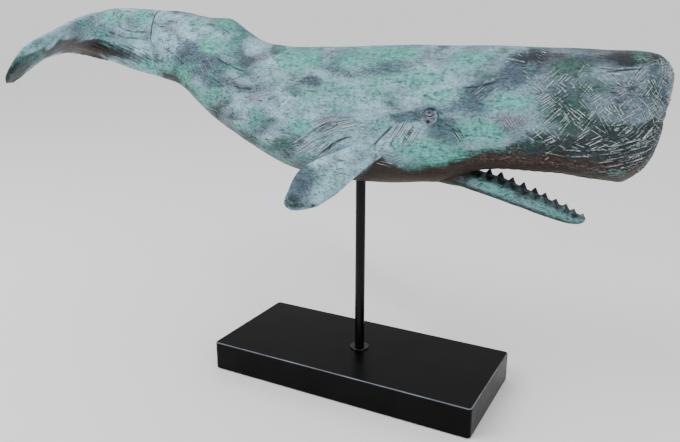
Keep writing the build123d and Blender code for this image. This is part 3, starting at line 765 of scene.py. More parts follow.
flankHatches = (
    # x, y, angle, length, number, spacing, ridge, warmth
    (541, 57, 25, 13, 5, 2.4, 0.3, 0.3), (520, 60, 30, 12, 5, 2.6, 0.25, 0.3),
    (587, 60, 25, 12, 5, 2.5, 0.3, 0.0), (572, 80, -38, 13, 7, 2.2, 0.4, 0.0),
    (588, 76, -30, 12, 4, 2.6, 0.3, 0.0), (556, 76, 65, 12, 6, 2.2, 0.25, 0.3),
    (532, 82, 60, 14, 7, 2.2, 0.22, 0.3), (546, 98, -32, 18, 6, 2.6, 0.42, 0.0),
    (556, 102, 42, 14, 5, 2.4, 0.35, 0.1), (566, 122, -42, 22, 4, 2.8, 0.5, 0.0),
    (580, 127, 42, 20, 2, 3.2, 0.5, 0.0), (583, 133, -50, 14, 3, 3.4, 0.45, 0.0),
    (594, 98, -30, 16, 3, 3.0, 0.45, 0.0), (596, 103, 45, 10, 4, 2.4, 0.35, 0.0),
    (610, 110, 62, 20, 5, 2.6, 0.45, 0.0), (618, 112, 66, 18, 3, 2.8, 0.4, 0.0),
    (605, 117, -50, 14, 4, 2.4, 0.3, 0.0), (633, 80, -45, 15, 5, 2.4, 0.5, 0.1),
    (624, 92, -40, 12, 4, 2.6, 0.45, 0.3), (640, 96, -55, 14, 5, 2.6, 0.4, 0.2),
    (654, 84, 62, 15, 4, 2.8, 0.35, 0.1), (648, 90, -60, 12, 4, 2.6, 0.35, 0.1),
    (628, 108, 50, 10, 5, 2.2, 0.3, 0.1), (644, 112, 70, 14, 4, 2.6, 0.3, 0.1),
    (650, 118, -30, 12, 3, 2.6, 0.3, 0.1), (618, 127, -16, 22, 4, 2.6, 0.4, 0.0),
    (630, 133, -34, 20, 4, 2.4, 0.45, 0.1), (600, 142, -28, 22, 5, 2.4, 0.3, 0.0),
    (634, 150, -14, 34, 7, 2.9, 0.5, 0.1), (618, 153, -12, 30, 4, 3.2, 0.35, 0.1),
    (636, 168, -20, 28, 4, 2.8, 0.35, 0.0), (612, 170, -8, 26, 3, 3.0, 0.28, 0.0),
    (655, 160, -40, 16, 4, 3.0, 0.3, 0.0), (530, 138, 30, 20, 5, 2.6, 0.22, 0.0),
    (548, 136, 34, 22, 5, 2.8, 0.25, 0.0), (548, 147, -34, 20, 4, 3.6, 0.35, 0.0),
    (515, 146, -18, 16, 4, 2.6, 0.25, 0.0), (564, 152, 26, 22, 4, 3.0, 0.22, 0.0),
    (580, 148, 20, 22, 4, 3.0, 0.22, 0.0), (545, 158, -38, 12, 2, 4.0, 0.35, 0.0),
    (511, 124, 55, 13, 6, 2.4, 0.28, 0.9), (523, 120, 55, 14, 4, 2.6, 0.28, 0.5),
    (508, 132, -50, 9, 5, 2.4, 0.25, 0.8), (487, 92, -38, 20, 5, 2.8, 0.25, 0.3),
    (492, 100, -40, 10, 4, 2.4, 0.28, 0.3), (402, 132, -60, 18, 6, 2.6, 0.95, 0.2),
    (411, 136, -58, 20, 4, 2.8, 0.8, 0.3), (386, 158, 12, 13, 5, 2.3, 0.34, 0.7),
    (395, 161, -24, 12, 5, 2.3, 0.34, 0.7), (455, 134, 55, 14, 4, 2.6, 0.15, 0.0),
    (352, 128, -12, 22, 4, 3.0, 0.6, 0.6), (326, 124, -26, 22, 5, 2.8, 0.75, 0.8),
    (324, 146, -38, 20, 5, 2.8, 0.85, 0.9), (306, 142, -30, 22, 5, 3.2, 0.45, 0.3),
    (553, 116, -40, 34, 2, 5.0, 0.8, 0.0), (574, 112, 40, 40, 2, 6.0, 0.85, 0.0),
    (589, 122, -48, 28, 2, 5.0, 0.75, 0.0), (560, 96, -33, 26, 3, 3.4, 0.75, 0.0),
    (604, 124, 62, 24, 2, 4.0, 0.65, 0.0), (627, 148, -13, 40, 3, 4.2, 0.8, 0.1),
    (632, 160, -16, 36, 3, 4.0, 0.75, 0.1), (610, 69, -2, 50, 1, 3.0, 0.8, 0.0),
    (640, 76, -46, 20, 4, 3.2, 0.8, 0.0), (204, 99, 3, 18, 3, 3.0, 0.12, 0.0),
    (208, 108, 20, 16, 3, 3.0, 0.15, 0.1), (232, 125, 32, 16, 4, 3.0, 0.15, 0.1),
    (262, 136, 35, 18, 4, 3.0, 0.15, 0.1), (228, 82, -10, 18, 3, 3.0, 0.12, 0.1),
    (206, 66, 60, 12, 4, 2.6, 0.1, 0.2),
)


def hatch(skin, x, y, angle, length, number, spacing, ridge, warmth, width=None):
    width = width or 0.44 + 0.16 * ridge
    along = np.array([math.cos(math.radians(angle)), math.sin(math.radians(angle))])
    beside = np.array([-along[1], along[0]])
    for k in range(number):
        place = np.array([x, y]) + beside * (k - (number - 1) / 2) * spacing * dice.uniform(0.85, 1.15)
        place = place + along * dice.uniform(-0.15, 0.15) * length
        turn = math.radians(dice.uniform(-6, 6))
        half = length / 2 * dice.uniform(0.7, 1.1)
        way = along * math.cos(turn) + beside * math.sin(turn)
        ends = (tuple(place - way * half), tuple(place + way * half))
        sharp = dice.uniform(0.65, 1.1)
        depth = (0.22 + 0.6 * ridge) * sharp
        skin.photoStroke(ends, width, depth, 0.8 * ridge * sharp, warmth, dice.uniform(-0.5, 0.5))


body = Skin(bodyPiece)
x, y, z = body.points.T
body.patches(flankPatches)
rows = [
    (hx, hy, turn, 0.55 * long, 0.6 * number * spacing, min(1, 0.35 + 1.6 * ridge))
    for hx, hy, turn, long, number, spacing, ridge, _ in flankHatches
]
headHatch = {
    "across": (522, 668),  # pixels
    "down": (58, 184),
    "pitch": 15,
    "halfLength": 15,
    "halfWidth": 8,
    "turns": (-48, -38, -30, 38, 48, 58),
    "lipTurns": (-24, -16, -10, 24),
    "low": 138,  # below this the strokes run along the lip
    "high": 74,  # above this the paint is hardly rubbed
    "strengths": (0.35, 1.0),
    "edgeShare": 0.16,
}
for layer, chosen in (("hatchA", rows[::2]), ("hatchB", rows[1::2])):
    fill = []
    for hx in np.arange(*headHatch["across"], headHatch["pitch"]):
        for hy in np.arange(*headHatch["down"], headHatch["pitch"]):
            place = np.array([hx, hy]) + dice.uniform(-6, 6, 2)
            turn = dice.choice(headHatch["turns"] if hy < headHatch["low"] else headHatch["lipTurns"])
            turn += dice.uniform(-7, 7)
            sizes = [headHatch[size] * dice.uniform(0.7, 1.2) for size in ("halfLength", "halfWidth")]
            strength = dice.uniform(*headHatch["strengths"])
            if not headHatch["high"] < place[1] < headHatch["low"] + 8 or place[0] < 530:
                strength *= headHatch["edgeShare"]
            fill.append((*place, turn, *sizes, strength))
    body.hatchField(layer, fill + chosen)
# broad tones that the patches lie on: a dark head, a darker back, and painted shade on the underside
side = np.abs(y)
headShare = smoothstep(x, 95, 165)
body.paints["dark"] += 0.05 + 0.25 * smoothstep(body.normals[:, 2], 0.55, 0.95)
body.paints["green"] += 0.20 * headShare + 0.05
body.paints["mauve"] += 0.30 * headShare
body.paints["slate"] += 0.14 * headShare
# painted shade: brown and dark where the surface faces down, the brown stronger from the middle forward
underside = smoothstep(-body.normals[:, 2], 0.50, 0.95)
body.paints["brown"] += 0.75 * underside * smoothstep(x, -60, 20) + 0.35 * underside
body.paints["dark"] += 0.45 * smoothstep(-body.normals[:, 2], 0.2, 0.7)
body.mottle({"slate": 0.15, "mauve": 0.13})
body.paints["mint"] += 0.24 * softNoise(body.points, 24, 23) + 0.22 - 0.27 * headShare
# the photograph's patches alone would run in bands over the back and the rear
turnedAway = smoothstep(body.normals[:, 2], 0.45, 0.85)
turnedAway = np.maximum(turnedAway, smoothstep(-body.normals[:, 0], 0.20, 0.50))
blotches = {"mint": 0.6, "slate": 0.5, "mauve": 0.5, "green": 0.4, "dark": 0.3}
for order, (paint, amount) in enumerate(blotches.items()):
    body.paints[paint] += turnedAway * amount * softNoise(body.points, 12 + 2 * order, 71 + order)
across, down = body.pixels.T
notUnder = body.normals[:, 2] > -0.6
rear = (across < 310) & notUnder
ridgeTop = (down < 66) & (across > 250) & (across < 540)
beltDepth = down - 58 - 0.67 * (across - 180)  # of a belt along the rear underside, in pixels
lowRear = (across < 330) & (beltDepth > 0) & notUnder
for entry in (
    # number, where, paints, least and most radius in pixels, strength
    (90, rear, ("slate", "slate", "green", "dark", "mint", "mauve"), (3, 7), (0.25, 0.55)),
    (50, rear, ("slate", "mauve", "mint"), (4, 8), (-0.5, -0.3)),
    (40, ridgeTop, ("slate", "green", "mauve", "mint"), (3, 6), (0.25, 0.5)),
    (60, (across > 300) & (down < 150), ("slate", "mauve", "mint", "green"), (3, 7), (-0.35, 0.4)),
    (40, across > 560, ("slate", "green", "mauve", "dark"), (3, 6), (-0.4, 0.4)),
    # the green, dark and brown dabs on the belt along the rear underside are partly painted shade, darkening
    # the body where it turns under, and partly sponge marks
    (70, lowRear, ("green", "dark", "brown", "mint", "slate"), (2.5, 6), (0.25, 0.5)),
):
    body.dabs(*entry)
body.wear = 0.95 - 0.70 * np.clip(body.paints["mint"], 0, 1) + 0.6 * smoothstep(-x, 20, 120)
body.wear += 0.5 * smoothstep(beltDepth, -4, 10) * (across < 330)
body.wear -= 0.40 * hump(np.hypot((across - 430) / 45, (down - 95) / 22), 1)
# slow unevenness of a hand modelled surface
body.height += 0.55 * softNoise(body.points, 30, 1) + 0.3 * softNoise(body.points, 12, 2)
print("body painted")

for line, width, depth, ridge in flankGrooves:
    body.photoStroke(line, width, depth, ridge)
for entry in flankHatches:
    hatch(body, *entry)
print("strokes from the photograph carved")

above = body.normals[:, 2] > -0.55
onHead = (x > 105) & above
onFlank = (x < 110) & above
onSnoutFace = (x > 190) & (body.normals[:, 0] > 0.45)
for entry in (
    # groups, where, length, most in a group and their spacing, turn, width, depth, ridge, warmth
    (120, onHead, (6, 13), (5, 2.0), (-80, 80), 0.5, 0.22, 0.15, 0.4),
    (60, onHead & (z < 225), (12, 24), (4, 2.4), (-30, 30), 0.5, 0.25, 0.15, 0.2),
    (150, onFlank, (7, 18), (3, 2.2), (-25, 25), 0.6, 0.22, 0.05, 0.4),
    (90, onFlank, (4, 9), (3, 2.0), (-80, 80), 0.6, 0.20, 0.06, 0.5),
    (170, lowRear, (5, 12), (4, 1.8), (-60, 60), 0.5, 0.34, 0.16, 0.3),
    (120, onSnoutFace, (8, 20), (4, 2.2), (-70, 70), 0.5, 0.3, 0.45, 0.3),
):
    body.randomStrokes(*entry)
print("loose strokes carved")

# Anatomy: the eye's hollow and brow, the shoulder over the fin, the lip, the palate and the seam
anatomy = {
    "eye": (71.0, 230.0),  # along and up
    "eyeHollow": 1.0,
    "hollowReach": 7.4,
    "browRadius": 10.5,
    "browDrop": 2,  # the brow's arch is centred below the eye
    "browRidge": 0.9,
    "browGroove": 0.5,
    "shoulder": (36.0, 207.0),
    "shoulderHeight": 1.6,
    "shoulderReach": 10,
    "shoulderStretch": 1.5,
    "palateHalfWidth": 10.0,
    "palateStart": 94.0,
    "palateEnd": 186.0,
    "palateDepth": 6.0,
    "sockets": (112, 184, 7.2),  # for the lower teeth: from, to and pitch
    "socketOut": 13.6,
    "socketRadius": 1.9,
    "socketDepth": 1.6,
    "seamGroove": 0.7,
    "seamShows": (262, 284),  # heights between which the seam grows plain
    "snout": (196, 209),
    "creaseUp": 231.0,  # a crease across the front of the snout
    "creaseDepth": 0.8,
    "creaseWidth": 3.4,
    "lipFacing": 0.62,  # downward share of the direction that the lip's rim faces
    "snoutSunk": 0.5,
}
eyeX, eyeZ = anatomy["eye"]
flank = np.abs(body.normals[:, 1]) > 0.5
eyeReach = np.hypot(x - eyeX, z - eyeZ)
body.height -= anatomy["eyeHollow"] * hump(eyeReach, anatomy["hollowReach"]) * flank
browLine = np.abs(np.hypot(x - eyeX, z - eyeZ + anatomy["browDrop"]) - anatomy["browRadius"])
overEye = smoothstep(z, eyeZ + 1, eyeZ + 6)
brow = anatomy["browRidge"] * hump(browLine, 1.6) - anatomy["browGroove"] * hump(browLine - 3.2, 1.2)
body.height += flank * overEye * brow
body.darken(0.6 * flank * overEye * hump(browLine - 3.0, 0.9) * hump(x - eyeX, 9))
shoulderX, shoulderZ = anatomy["shoulder"]
fromShoulder = np.hypot((x - shoulderX) / anatomy["shoulderStretch"], z - shoulderZ)
body.height += anatomy["shoulderHeight"] * flank * hump(fromShoulder, anatomy["shoulderReach"])
inPalate = smoothstep(anatomy["palateHalfWidth"] - side, -1.5, 2.5)
inPalate *= smoothstep(x, anatomy["palateStart"] - 4, anatomy["palateStart"] + 6)
inPalate *= 1 - smoothstep(x, anatomy["palateEnd"] - 8, anatomy["palateEnd"] + 2)
inPalate *= body.normals[:, 2] < -0.2
body.height -= anatomy["palateDepth"] * inPalate
body.paints["brown"] += 0.8 * inPalate
fromCrease = z - anatomy["creaseUp"] + 0.8 * softNoise(body.points, 9, 61)
onSnout = smoothstep(x, *anatomy["snout"])
crease = anatomy["creaseDepth"] * hump(fromCrease, anatomy["creaseWidth"]) + 0.4 * hump(fromCrease + 1.5, 1.1)
body.height -= onSnout * crease
body.height -= 0.6 * onSnout * hump(fromCrease - 7, 2.0)
body.darken(0.6 * onSnout * hump(fromCrease + 1.5, 0.9))
# a row of sockets for the lower teeth along each side of the palate
for sign in (-1, 1):
    for socketX in np.arange(*anatomy["sockets"]):
        reach = np.hypot(x - socketX, (y - sign * anatomy["socketOut"]) * 1.1)
        pit = hump(reach, anatomy["socketRadius"]) * (body.normals[:, 2] < -0.5)
        body.height -= anatomy["socketDepth"] * pit
        body.darken(0.9 * pit)
body.seam()
# a painted highlight: the lip's rounded rim, where it turns under, is lightened in a warmer brown
rim = hump(body.normals[:, 2] + anatomy["lipFacing"], 0.16) * smoothstep(x, 70, 110) * (side > 14)
body.rub = np.maximum(body.rub, 0.34 * rim)
body.warm = np.maximum(body.warm, rim)
# the snout's strokes are cut into its face, so that they don't reach past the casting's length
facingForward = smoothstep(body.normals[:, 0], 0.3, 0.9)
body.height -= anatomy["snoutSunk"] * facingForward
room = (whale["sections"][-1][0] * whale["length"] - x) / np.maximum(body.normals[:, 0], 0.3)
body.height = np.where(facingForward > 0, np.minimum(body.height, room), body.height)

bodyPiece = body.finish()
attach(bodyPiece, "whale")
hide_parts("whale_body")
print("whale body done")

# The tail: stock and both flukes, cast as one

flukes = {
    "halfSpan": 90,
    "thickness": 15,
    "tilt": 6,
    "lean": 0.5,
    "voxel": 0.9,
    "overlap": 14.0,
    "fillet": 8.0,
    "blankVoxel": 1.6,
    "spacing": 1.6,
    "turns": 60,
    # out, leading edge along and up, trailing edge along and up, thickness
    "sections": [
        (0.00, -0.472, 1.205, -0.597, 0.880, 1.00),
        (0.10, -0.476, 1.218, -0.602, 0.868, 1.00),
        (0.28, -0.487, 1.188, -0.604, 0.838, 0.88),
        (0.42, -0.491, 1.156, -0.598, 0.794, 0.78),
        (0.55, -0.494, 1.123, -0.588, 0.759, 0.68),
        (0.70, -0.499, 1.085, -0.574, 0.725, 0.58),
        (0.86, -0.511, 1.011, -0.561, 0.704, 0.46),
        (0.94, -0.524, 0.913, -0.550, 0.708, 0.34),
        (0.98, -0.533, 0.840, -0.545, 0.715, 0.24),
        (1.00, -0.538, 0.799, -0.543, 0.725, 0.18),
    ],
}


def flukeRings():
    rows = denseRows(flukes["sections"], (flukes["halfSpan"], 0, 0, 0, 0, 0), flukes["spacing"])
    both = [(-1, r) for r in rows[::-1]] + [(1, r) for r in rows[1:]]
    turns = np.linspace(0, 2 * math.pi, flukes["turns"], endpoint=False)
    rings = []
    for sign, (out, leadX, leadUp, trailX, trailUp, thick) in both:
        lead = np.array([leadX * whale["length"], 0, upWhale(leadUp)])
        trail = np.array([trailX * whale["length"], 0, upWhale(trailUp)])
        chord = np.linalg.norm(trail - lead)
        chordWay = (trail - lead) / chord
        thickWay = np.cross(np.array([0, -1, 0]), chordWay)
        place = lead + np.array([0, sign * out * flukes["halfSpan"], sign * out * flukes["tilt"]])
        along = chord * (1 - np.cos(turns)) / 2
        across = thick * flukes["thickness"] / 2 * np.sin(turns) * (1 + flukes["lean"] * np.cos(turns))
        rings.append(place + along[:, None] * chordWay + across[:, None] * thickWay)
    return np.array(rings)


stockRows = denseRows(whale["sections"], sectionScales, whale["tailSpacing"])
overlapShare = flukes["overlap"] / whale["length"]
stockRows = stockRows[stockRows[:, 0] <= whale["seam"] + overlapShare]
stock = closedTube("stock", whaleTube(stockRows, whale["tailColumns"]))
flukePair = closedTube("flukes", flukeRings())
tailBlank = remeshed(joined("tailBlank", stock, flukePair), flukes["blankVoxel"], 2)
grown = tailBlank.copy()  # grown and shrunk again, which fills the corner between stock and flukes
grown.data = tailBlank.data.copy()
bpy.context.scene.collection.objects.link(grown)
for distance in (flukes["fillet"], -flukes["fillet"]):
    push = grown.modifiers.new("push", "DISPLACE")
    push.mid_level, push.strength = 0, distance * mm
    remesh = grown.modifiers.new("voxels", "REMESH")
    remesh.mode, remesh.voxel_size = "VOXEL", flukes["blankVoxel"] * mm
tailPiece = remeshed(joined("tail_cast", tailBlank, applied(grown)), flukes["voxel"], 6)
cutter = bmesh.new()
cutter.from_mesh(tailPiece.data)
planeParts = bmesh.ops.bisect_plane(
    cutter,
    geom=cutter.verts[:] + cutter.edges[:] + cutter.faces[:],
    plane_co=((seamX - 0.1) * mm, 0, 0),
    plane_no=(1, 0, 0),
    clear_outer=True,
)
rim = [e for e in planeParts["geom_cut"] if isinstance(e, bmesh.types.BMEdge)]
bmesh.ops.contextual_create(cutter, geom=rim)
cutter.to_mesh(tailPiece.data)
cutter.free()
print("tail mesh:", len(tailPiece.data.vertices), "points")

tailPatches = {
    # as for the flank
    "mint": (
        (150, 68, 14, 5, 0.9, 18), (100, 36, 10, 5, 0.7, 10), (150, 15, 12, 4, 0.7, 5),
        (122, 16, 8, 4, 0.5, 0), (104, 48, 7, 5, 0.6, 20), (60, 38, 10, 5, 0.4, -20),
        (30, 46, 10, 5, 0.35, -30),
    ),
    "slate": (
        (137, 23, 14, 7, 0.6, 10), (120, 40, 18, 5, 0.4, 20), (150, 36, 8, 10, 0.4, 0),
        (76, 38, 8, 8, 0.45, -20), (140, 60, 14, 6, 0.5, 20), (24, 62, 10, 5, 0.4, -50),
        # painted highlight: here and in the mauve below, (53, 32) with a negative strength lightens the near
        # fluke's upper part
        (53, 32, 18, 8, -0.3, -25),
    ),
    "mauve": (
        (80, 25, 20, 6, 0.5, -20), (40, 42, 10, 6, 0.4, -30), (112, 10, 10, 3, 0.6, 0),
        (53, 32, 18, 8, -0.3, -25),
    ),
    "dark": (
        # painted shade: dark along the near fluke's lower edge and under the stock
        (16, 72, 14, 10, 1.0, -45), (40, 55, 18, 4, 0.9, -28), (62, 46, 14, 4, 0.9, -25),
        (112, 52, 20, 6, 0.7, 22), (90, 46, 12, 4, 0.8, 0), (140, 58, 18, 5, 0.5, 25),
        (92, 50, 24, 7, 0.8, 12), (66, 50, 14, 5, 0.6, -20), (30, 66, 16, 5, 0.7, -42),
        (12, 82, 6, 6, 0.4, 0),
    ),
    "brown": (
        # painted shade: brown under the stock, where the fluke's root turns under
        (88, 51, 22, 6, 1.2, 12), (70, 50, 12, 4, 0.9, -10),
    ),
    "green": (
        (20, 66, 10, 6, 0.6, -45), (156, 70, 10, 4, 0.6, 20),
    ),
}
tailGrooves = (
    # pixels along the groove, width, depth, ridge
    (((117, 24), (124, 29), (133, 31), (149, 31.5)), 1.1, 1.0, 0.15),
    (((108, 31), (116, 34), (125, 37), (141, 38)), 1.1, 1.0, 0.15), (((155, 42), (152, 48)), 0.9, 0.7, 0.1),
    (((88, 44), (106, 50), (125, 59)), 1.0, 0.8, 0.1), (((92, 42), (112, 50), (132, 61)), 1.0, 0.8, 0.1),
    (((97, 42), (118, 51), (140, 64)), 1.0, 0.8, 0.1), (((104, 42), (124, 51), (146, 64)), 1.0, 0.8, 0.15),
    (((111, 43), (130, 51), (150, 63)), 1.0, 0.8, 0.15),
    (((119, 43), (136, 50), (153, 61)), 1.0, 0.8, 0.15),
    (((128, 44), (142, 50), (155, 58)), 1.0, 0.7, 0.15), (((112, 56), (132, 66)), 1.0, 0.6, 0.1),
    (((140, 47), (152, 52)), 0.9, 0.6, 0.3), (((45, 48), (62, 40)), 0.8, 0.4, 0.2),
    (((38, 57), (58, 47)), 0.8, 0.4, 0.2), (((28, 62), (50, 52)), 0.8, 0.4, 0.25),
    (((20, 60), (26, 58)), 0.8, 0.3, 0.5), (((24, 64), (32, 60)), 0.8, 0.3, 0.4),
    (((60, 32), (90, 20)), 0.8, 0.3, 0.1),
)
tail = Skin(tailPiece)
tail.patches(tailPatches)
tx, ty, _ = tail.points.T
tail.mottle({"slate": 0.08, "mauve": 0.13, "mint": 0.16})
tail.wear += 0.3
onTop = tail.normals[:, 2] > -0.5
tail.dabs(60, onTop, ("slate", "mint", "mint", "mauve"), (3, 7), (0.2, 0.4))
tail.dabs(30, onTop, ("slate", "mauve", "mint"), (4, 8), (-0.5, -0.3))
shaded = smoothstep(-tail.normals[:, 2], 0.1, 0.7) * smoothstep(-240 - tx, 0, 20) * smoothstep(ty, 2, 14)
tail.paints["brown"] += (0.9 + 0.6 * softNoise(tail.points, 10, 81)) * shaded
tail.paints["dark"] += (0.7 + 0.6 * softNoise(tail.points, 14, 82)) * shaded
tail.height += 0.4 * softNoise(tail.points, 24, 5) + 0.25 * softNoise(tail.points, 10, 6)
for line, width, depth, ridge in tailGrooves:
    tail.photoStroke(line, width, depth, ridge)
tail.randomStrokes(90, tail.normals[:, 2] > -0.6, (7, 16), (4, 2.2), (-25, 25), 0.6, 0.25, 0.08, 0.3)
tail.randomStrokes(70, np.abs(ty) > 20, (8, 22), (4, 2.2), (60, 120), 0.6, 0.25, 0.10, 0.3)
tail.rub *= 1 - 0.85 * shaded
tail.wear *= 1 - 0.5 * shaded
tail.seam()
tailPiece = tail.finish()
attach(tailPiece, "whale")
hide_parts("tail_casting")
print("tail done")

# Pectoral fins

fin = {
    "length": 92,
    "chord": 30,
    "thickness": 9,
    "root": (0.079, 0.75, 0.34),
    "tip": (-0.055, 1.50, -0.075),
    "chordWay": (-0.50, 0.10, 0.86),
    "voxel": 0.6,
    "spacing": 1.5,
    "turns": 48,
    # along, middle, half chord, half thickness
    "sections": [
        (-0.11, 0.23, 0.28, 0.80),
        (0.06, 0.22, 0.28, 0.96),
        (0.18, 0.20, 0.29, 1.00),
        (0.31, 0.18, 0.34, 0.98),
        (0.46, 0.15, 0.43, 0.92),
        (0.61, 0.12, 0.50, 0.82),
        (0.73, 0.10, 0.51, 0.72),
        (0.83, 0.05, 0.42, 0.60),
        (0.91, 0.00, 0.29, 0.46),
        (0.965, -0.02, 0.17, 0.32),
        (0.993, -0.02, 0.07, 0.16),
    ],
}
finPatches = {
    # as for the flank
    "mint": (
        (327, 184, 14, 9, 0.38, -35), (345, 168, 16, 9, 0.18, -35), (375, 146, 10, 8, 0.5, -35),
    ),
    "slate": (
        (297, 190, 14, 20, 1.1, 25), (312, 176, 10, 8, 0.6, 0), (360, 155, 10, 8, 0.5, -35),
        (300, 172, 8, 6, 0.7, -30),
    ),
    "dark": (
        (292, 202, 10, 7, 0.6, 0), (310, 206, 16, 3, 0.6, 0),
    ),
    "mauve": (
        (352, 160, 16, 8, 0.4, -35),
    ),
    "brown": (
        (372, 166, 8, 4, 0.6, -40),
    ),
    "green": (
        (338, 198, 14, 4, 0.5, -40), (322, 168, 8, 4, 0.35, 0), (350, 176, 10, 3, 0.35, -40),
    ),
}


finGrooves = (
    ((318, 171), (320, 165)), ((322, 170), (326, 164)), ((330, 168), (332, 163)), ((337, 165), (338, 171)),
)
finHatches = (  # as for the flank
    (303, 190, 62, 12, 6, 2.2, 0.2, 0.0), (313, 184, 70, 12, 5, 2.2, 0.2, 0.0),
    (306, 204, 20, 14, 2, 3.0, 0.5, 0.1),
)


def placeOnWhale(shares, sign):
    along, out, up = shares
    return np.array([along * whale["length"], sign * out * whale["halfWidth"], upWhale(up)])


def makeFin(name, node, sign):
    root, tip = placeOnWhale(fin["root"], sign), placeOnWhale(fin["tip"], sign)
    axis = (tip - root) / np.linalg.norm(tip - root)
    chordWay = np.array(fin["chordWay"]) * (1, -sign, 1)
    chordWay -= axis * (chordWay @ axis)
    chordWay /= np.linalg.norm(chordWay)
    thickWay = np.cross(axis, chordWay)
    turns = np.linspace(0, 2 * math.pi, fin["turns"], endpoint=False)
    rings = []
    rows = denseRows(fin["sections"], (fin["length"], 0, 0, 0), fin["spacing"])
    for along, middle, halfChord, halfThick in rows:
        place = root + axis * along * fin["length"] + chordWay * middle * fin["chord"]
        rings.append(
            place
            + np.cos(turns)[:, None] * halfChord * fin["chord"] * chordWay
            + np.sin(turns)[:, None] * halfThick * fin["thickness"] / 2 * thickWay
        )
    piece = joined(name, closedTube(name + "Blank", np.array(rings)))
    skin = Skin(remeshed(piece, fin["voxel"], 2))
    skin.patches(finPatches)
    skin.paints["mauve"] += 0.2 * softNoise(skin.points, 14, 22) - 0.02
    skin.paints["mint"] += 0.2 * softNoise(skin.points, 16, 23) + 0.04
    skin.wear *= 0.9
    skin.height += 0.25 * softNoise(skin.points, 12, 7)
    for line in finGrooves:
        skin.photoStroke(line, 0.8, 0.5, 0.0)
    for entry in finHatches:
        hatch(skin, *entry, width=0.5)
    everywhere = np.ones(len(skin.points), bool)
    skin.dabs(16, everywhere, ("slate", "green", "mint", "mauve"), (2, 5), (0.15, 0.35))
    skin.randomStrokes(80, everywhere, (4, 11), (3, 2.0), (-70, 50), 0.5, 0.28, 0.14, 0.2)
    made = skin.finish()
    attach(made, "whale")
    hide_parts(node)
    return made


makeFin("right_fin_cast", "right_fin", -1)
makeFin("left_fin_cast", "left_fin", 1)
print("fins done")

# Lower jaw and its teeth

jaw = {
    "gumFull": 0.75,
    "underFull": 0.62,
    "toothPlaces": (100.8, 109.3, 118.0, 126.2, 134.6, 141.9, 149.5, 156.6, 162.3, 168.7),
    "toothInset": 2.4,
    "toothRadius": 3.1,
    "toothRoot": 2.2,
    "toothHeight": 2.4,  # of the tip above the gum
    "toothLean": 1.1,  # tips hook forward
    "voxel": 0.42,
    "spacing": 0.9,
    # along, underside, gum, half width
    "sections": [
        (0.118, 0.066, 0.182, 0.275),
        (0.147, 0.052, 0.184, 0.262),
        (0.176, 0.024, 0.162, 0.240),
        (0.206, -0.014, 0.132, 0.218),
        (0.235, -0.052, 0.080, 0.196),
        (0.262, -0.086, 0.030, 0.178),
        (0.283, -0.110, -0.010, 0.160),
        (0.2995, -0.120, -0.044, 0.140),
        (0.3095, -0.114, -0.060, 0.110),
        (0.3155, -0.098, -0.076, 0.060),
    ],
}
jawTable = np.array(jaw["sections"])
jawRows = denseRows(jaw["sections"], sectionScales[:4], jaw["spacing"])
jawRings = []
for along, under, gum, width in jawRows:
    upper, lower = upWhale(gum), upWhale(under)
    half = halfSection(
        width * whale["halfWidth"], (upper + lower) / 2, upper, lower, jaw["gumFull"], jaw["underFull"], 24
    )
    jawRings.append(mirroredRing(along, half))
jawParts = [closedTube("jawBlank", np.array(jawRings))]
toothTurns = np.linspace(0, 2 * math.pi, 14, endpoint=False)
toothTips = []
for toothX in jaw["toothPlaces"]:
    share = toothX / whale["length"]
    gum = upWhale(np.interp(share, jawTable[:, 0], jawTable[:, 2]))
    out = np.interp(share, jawTable[:, 0], jawTable[:, 3]) * whale["halfWidth"] - jaw["toothInset"]
    for sign in (-1, 1):
        foot = np.array([toothX, sign * out, gum - jaw["toothRoot"]])
        rings = []
        for t in np.linspace(0, 1, 9):
            radius = jaw["toothRadius"] * (1 - t) ** 0.9 + 0.3
            rise = (jaw["toothHeight"] * (1.15 - 0.45 * smoothstep(toothX, 130, 168)) + jaw["toothRoot"]) * t
            centre = foot + np.array([jaw["toothLean"] * t * t, -sign * 0.3 * t, rise])
            ring = np.stack([np.cos(toothTurns), 0.7 * np.sin(toothTurns), 0 * toothTurns], -1) * radius
            rings.append(centre + ring)
        toothTips.append(foot)
        jawParts.append(closedTube("toothBlank", np.array(rings)))
jawPiece = remeshed(joined("lower_jaw_cast", *jawParts), jaw["voxel"], 2)
print("jaw mesh:", len(jawPiece.data.vertices), "points")

jawSkin = Skin(jawPiece)
jx, jy, jz = jawSkin.points.T
jawShares = jx / whale["length"]
underLine, gumLine = (upWhale(np.interp(jawShares, jawTable[:, 0], jawTable[:, k])) for k in (1, 2))
level = (jz - underLine) / (gumLine - underLine)  # 0 at the underside, 1 at the gum
forward = smoothstep(jx, 95, 165)
# painted shade: darker along the top under the upper lip, along the underside, and at the back end, which
# sits under the head
jawSkin.paints["dark"] += 0.32 + 0.9 * smoothstep(level, 0.70, 0.95) * (1 - 0.8 * forward)
jawSkin.paints["dark"] += 0.7 * (1 - smoothstep(level, 0.10, 0.45)) + 0.8 * (1 - smoothstep(jx, 70, 102))
jawSkin.paints["slate"] += 0.45 * forward + 0.3 * softNoise(jawSkin.points, 8, 41)
jawSkin.paints["green"] += 0.45
jawSkin.paints["mint"] += 0.60 * hump(level - 0.55, 0.20) * (1 - 0.55 * forward) * smoothstep(jx, 84, 104)
jawSkin.paints["mint"] += 0.25 * softNoise(jawSkin.points, 10, 42) + 0.12
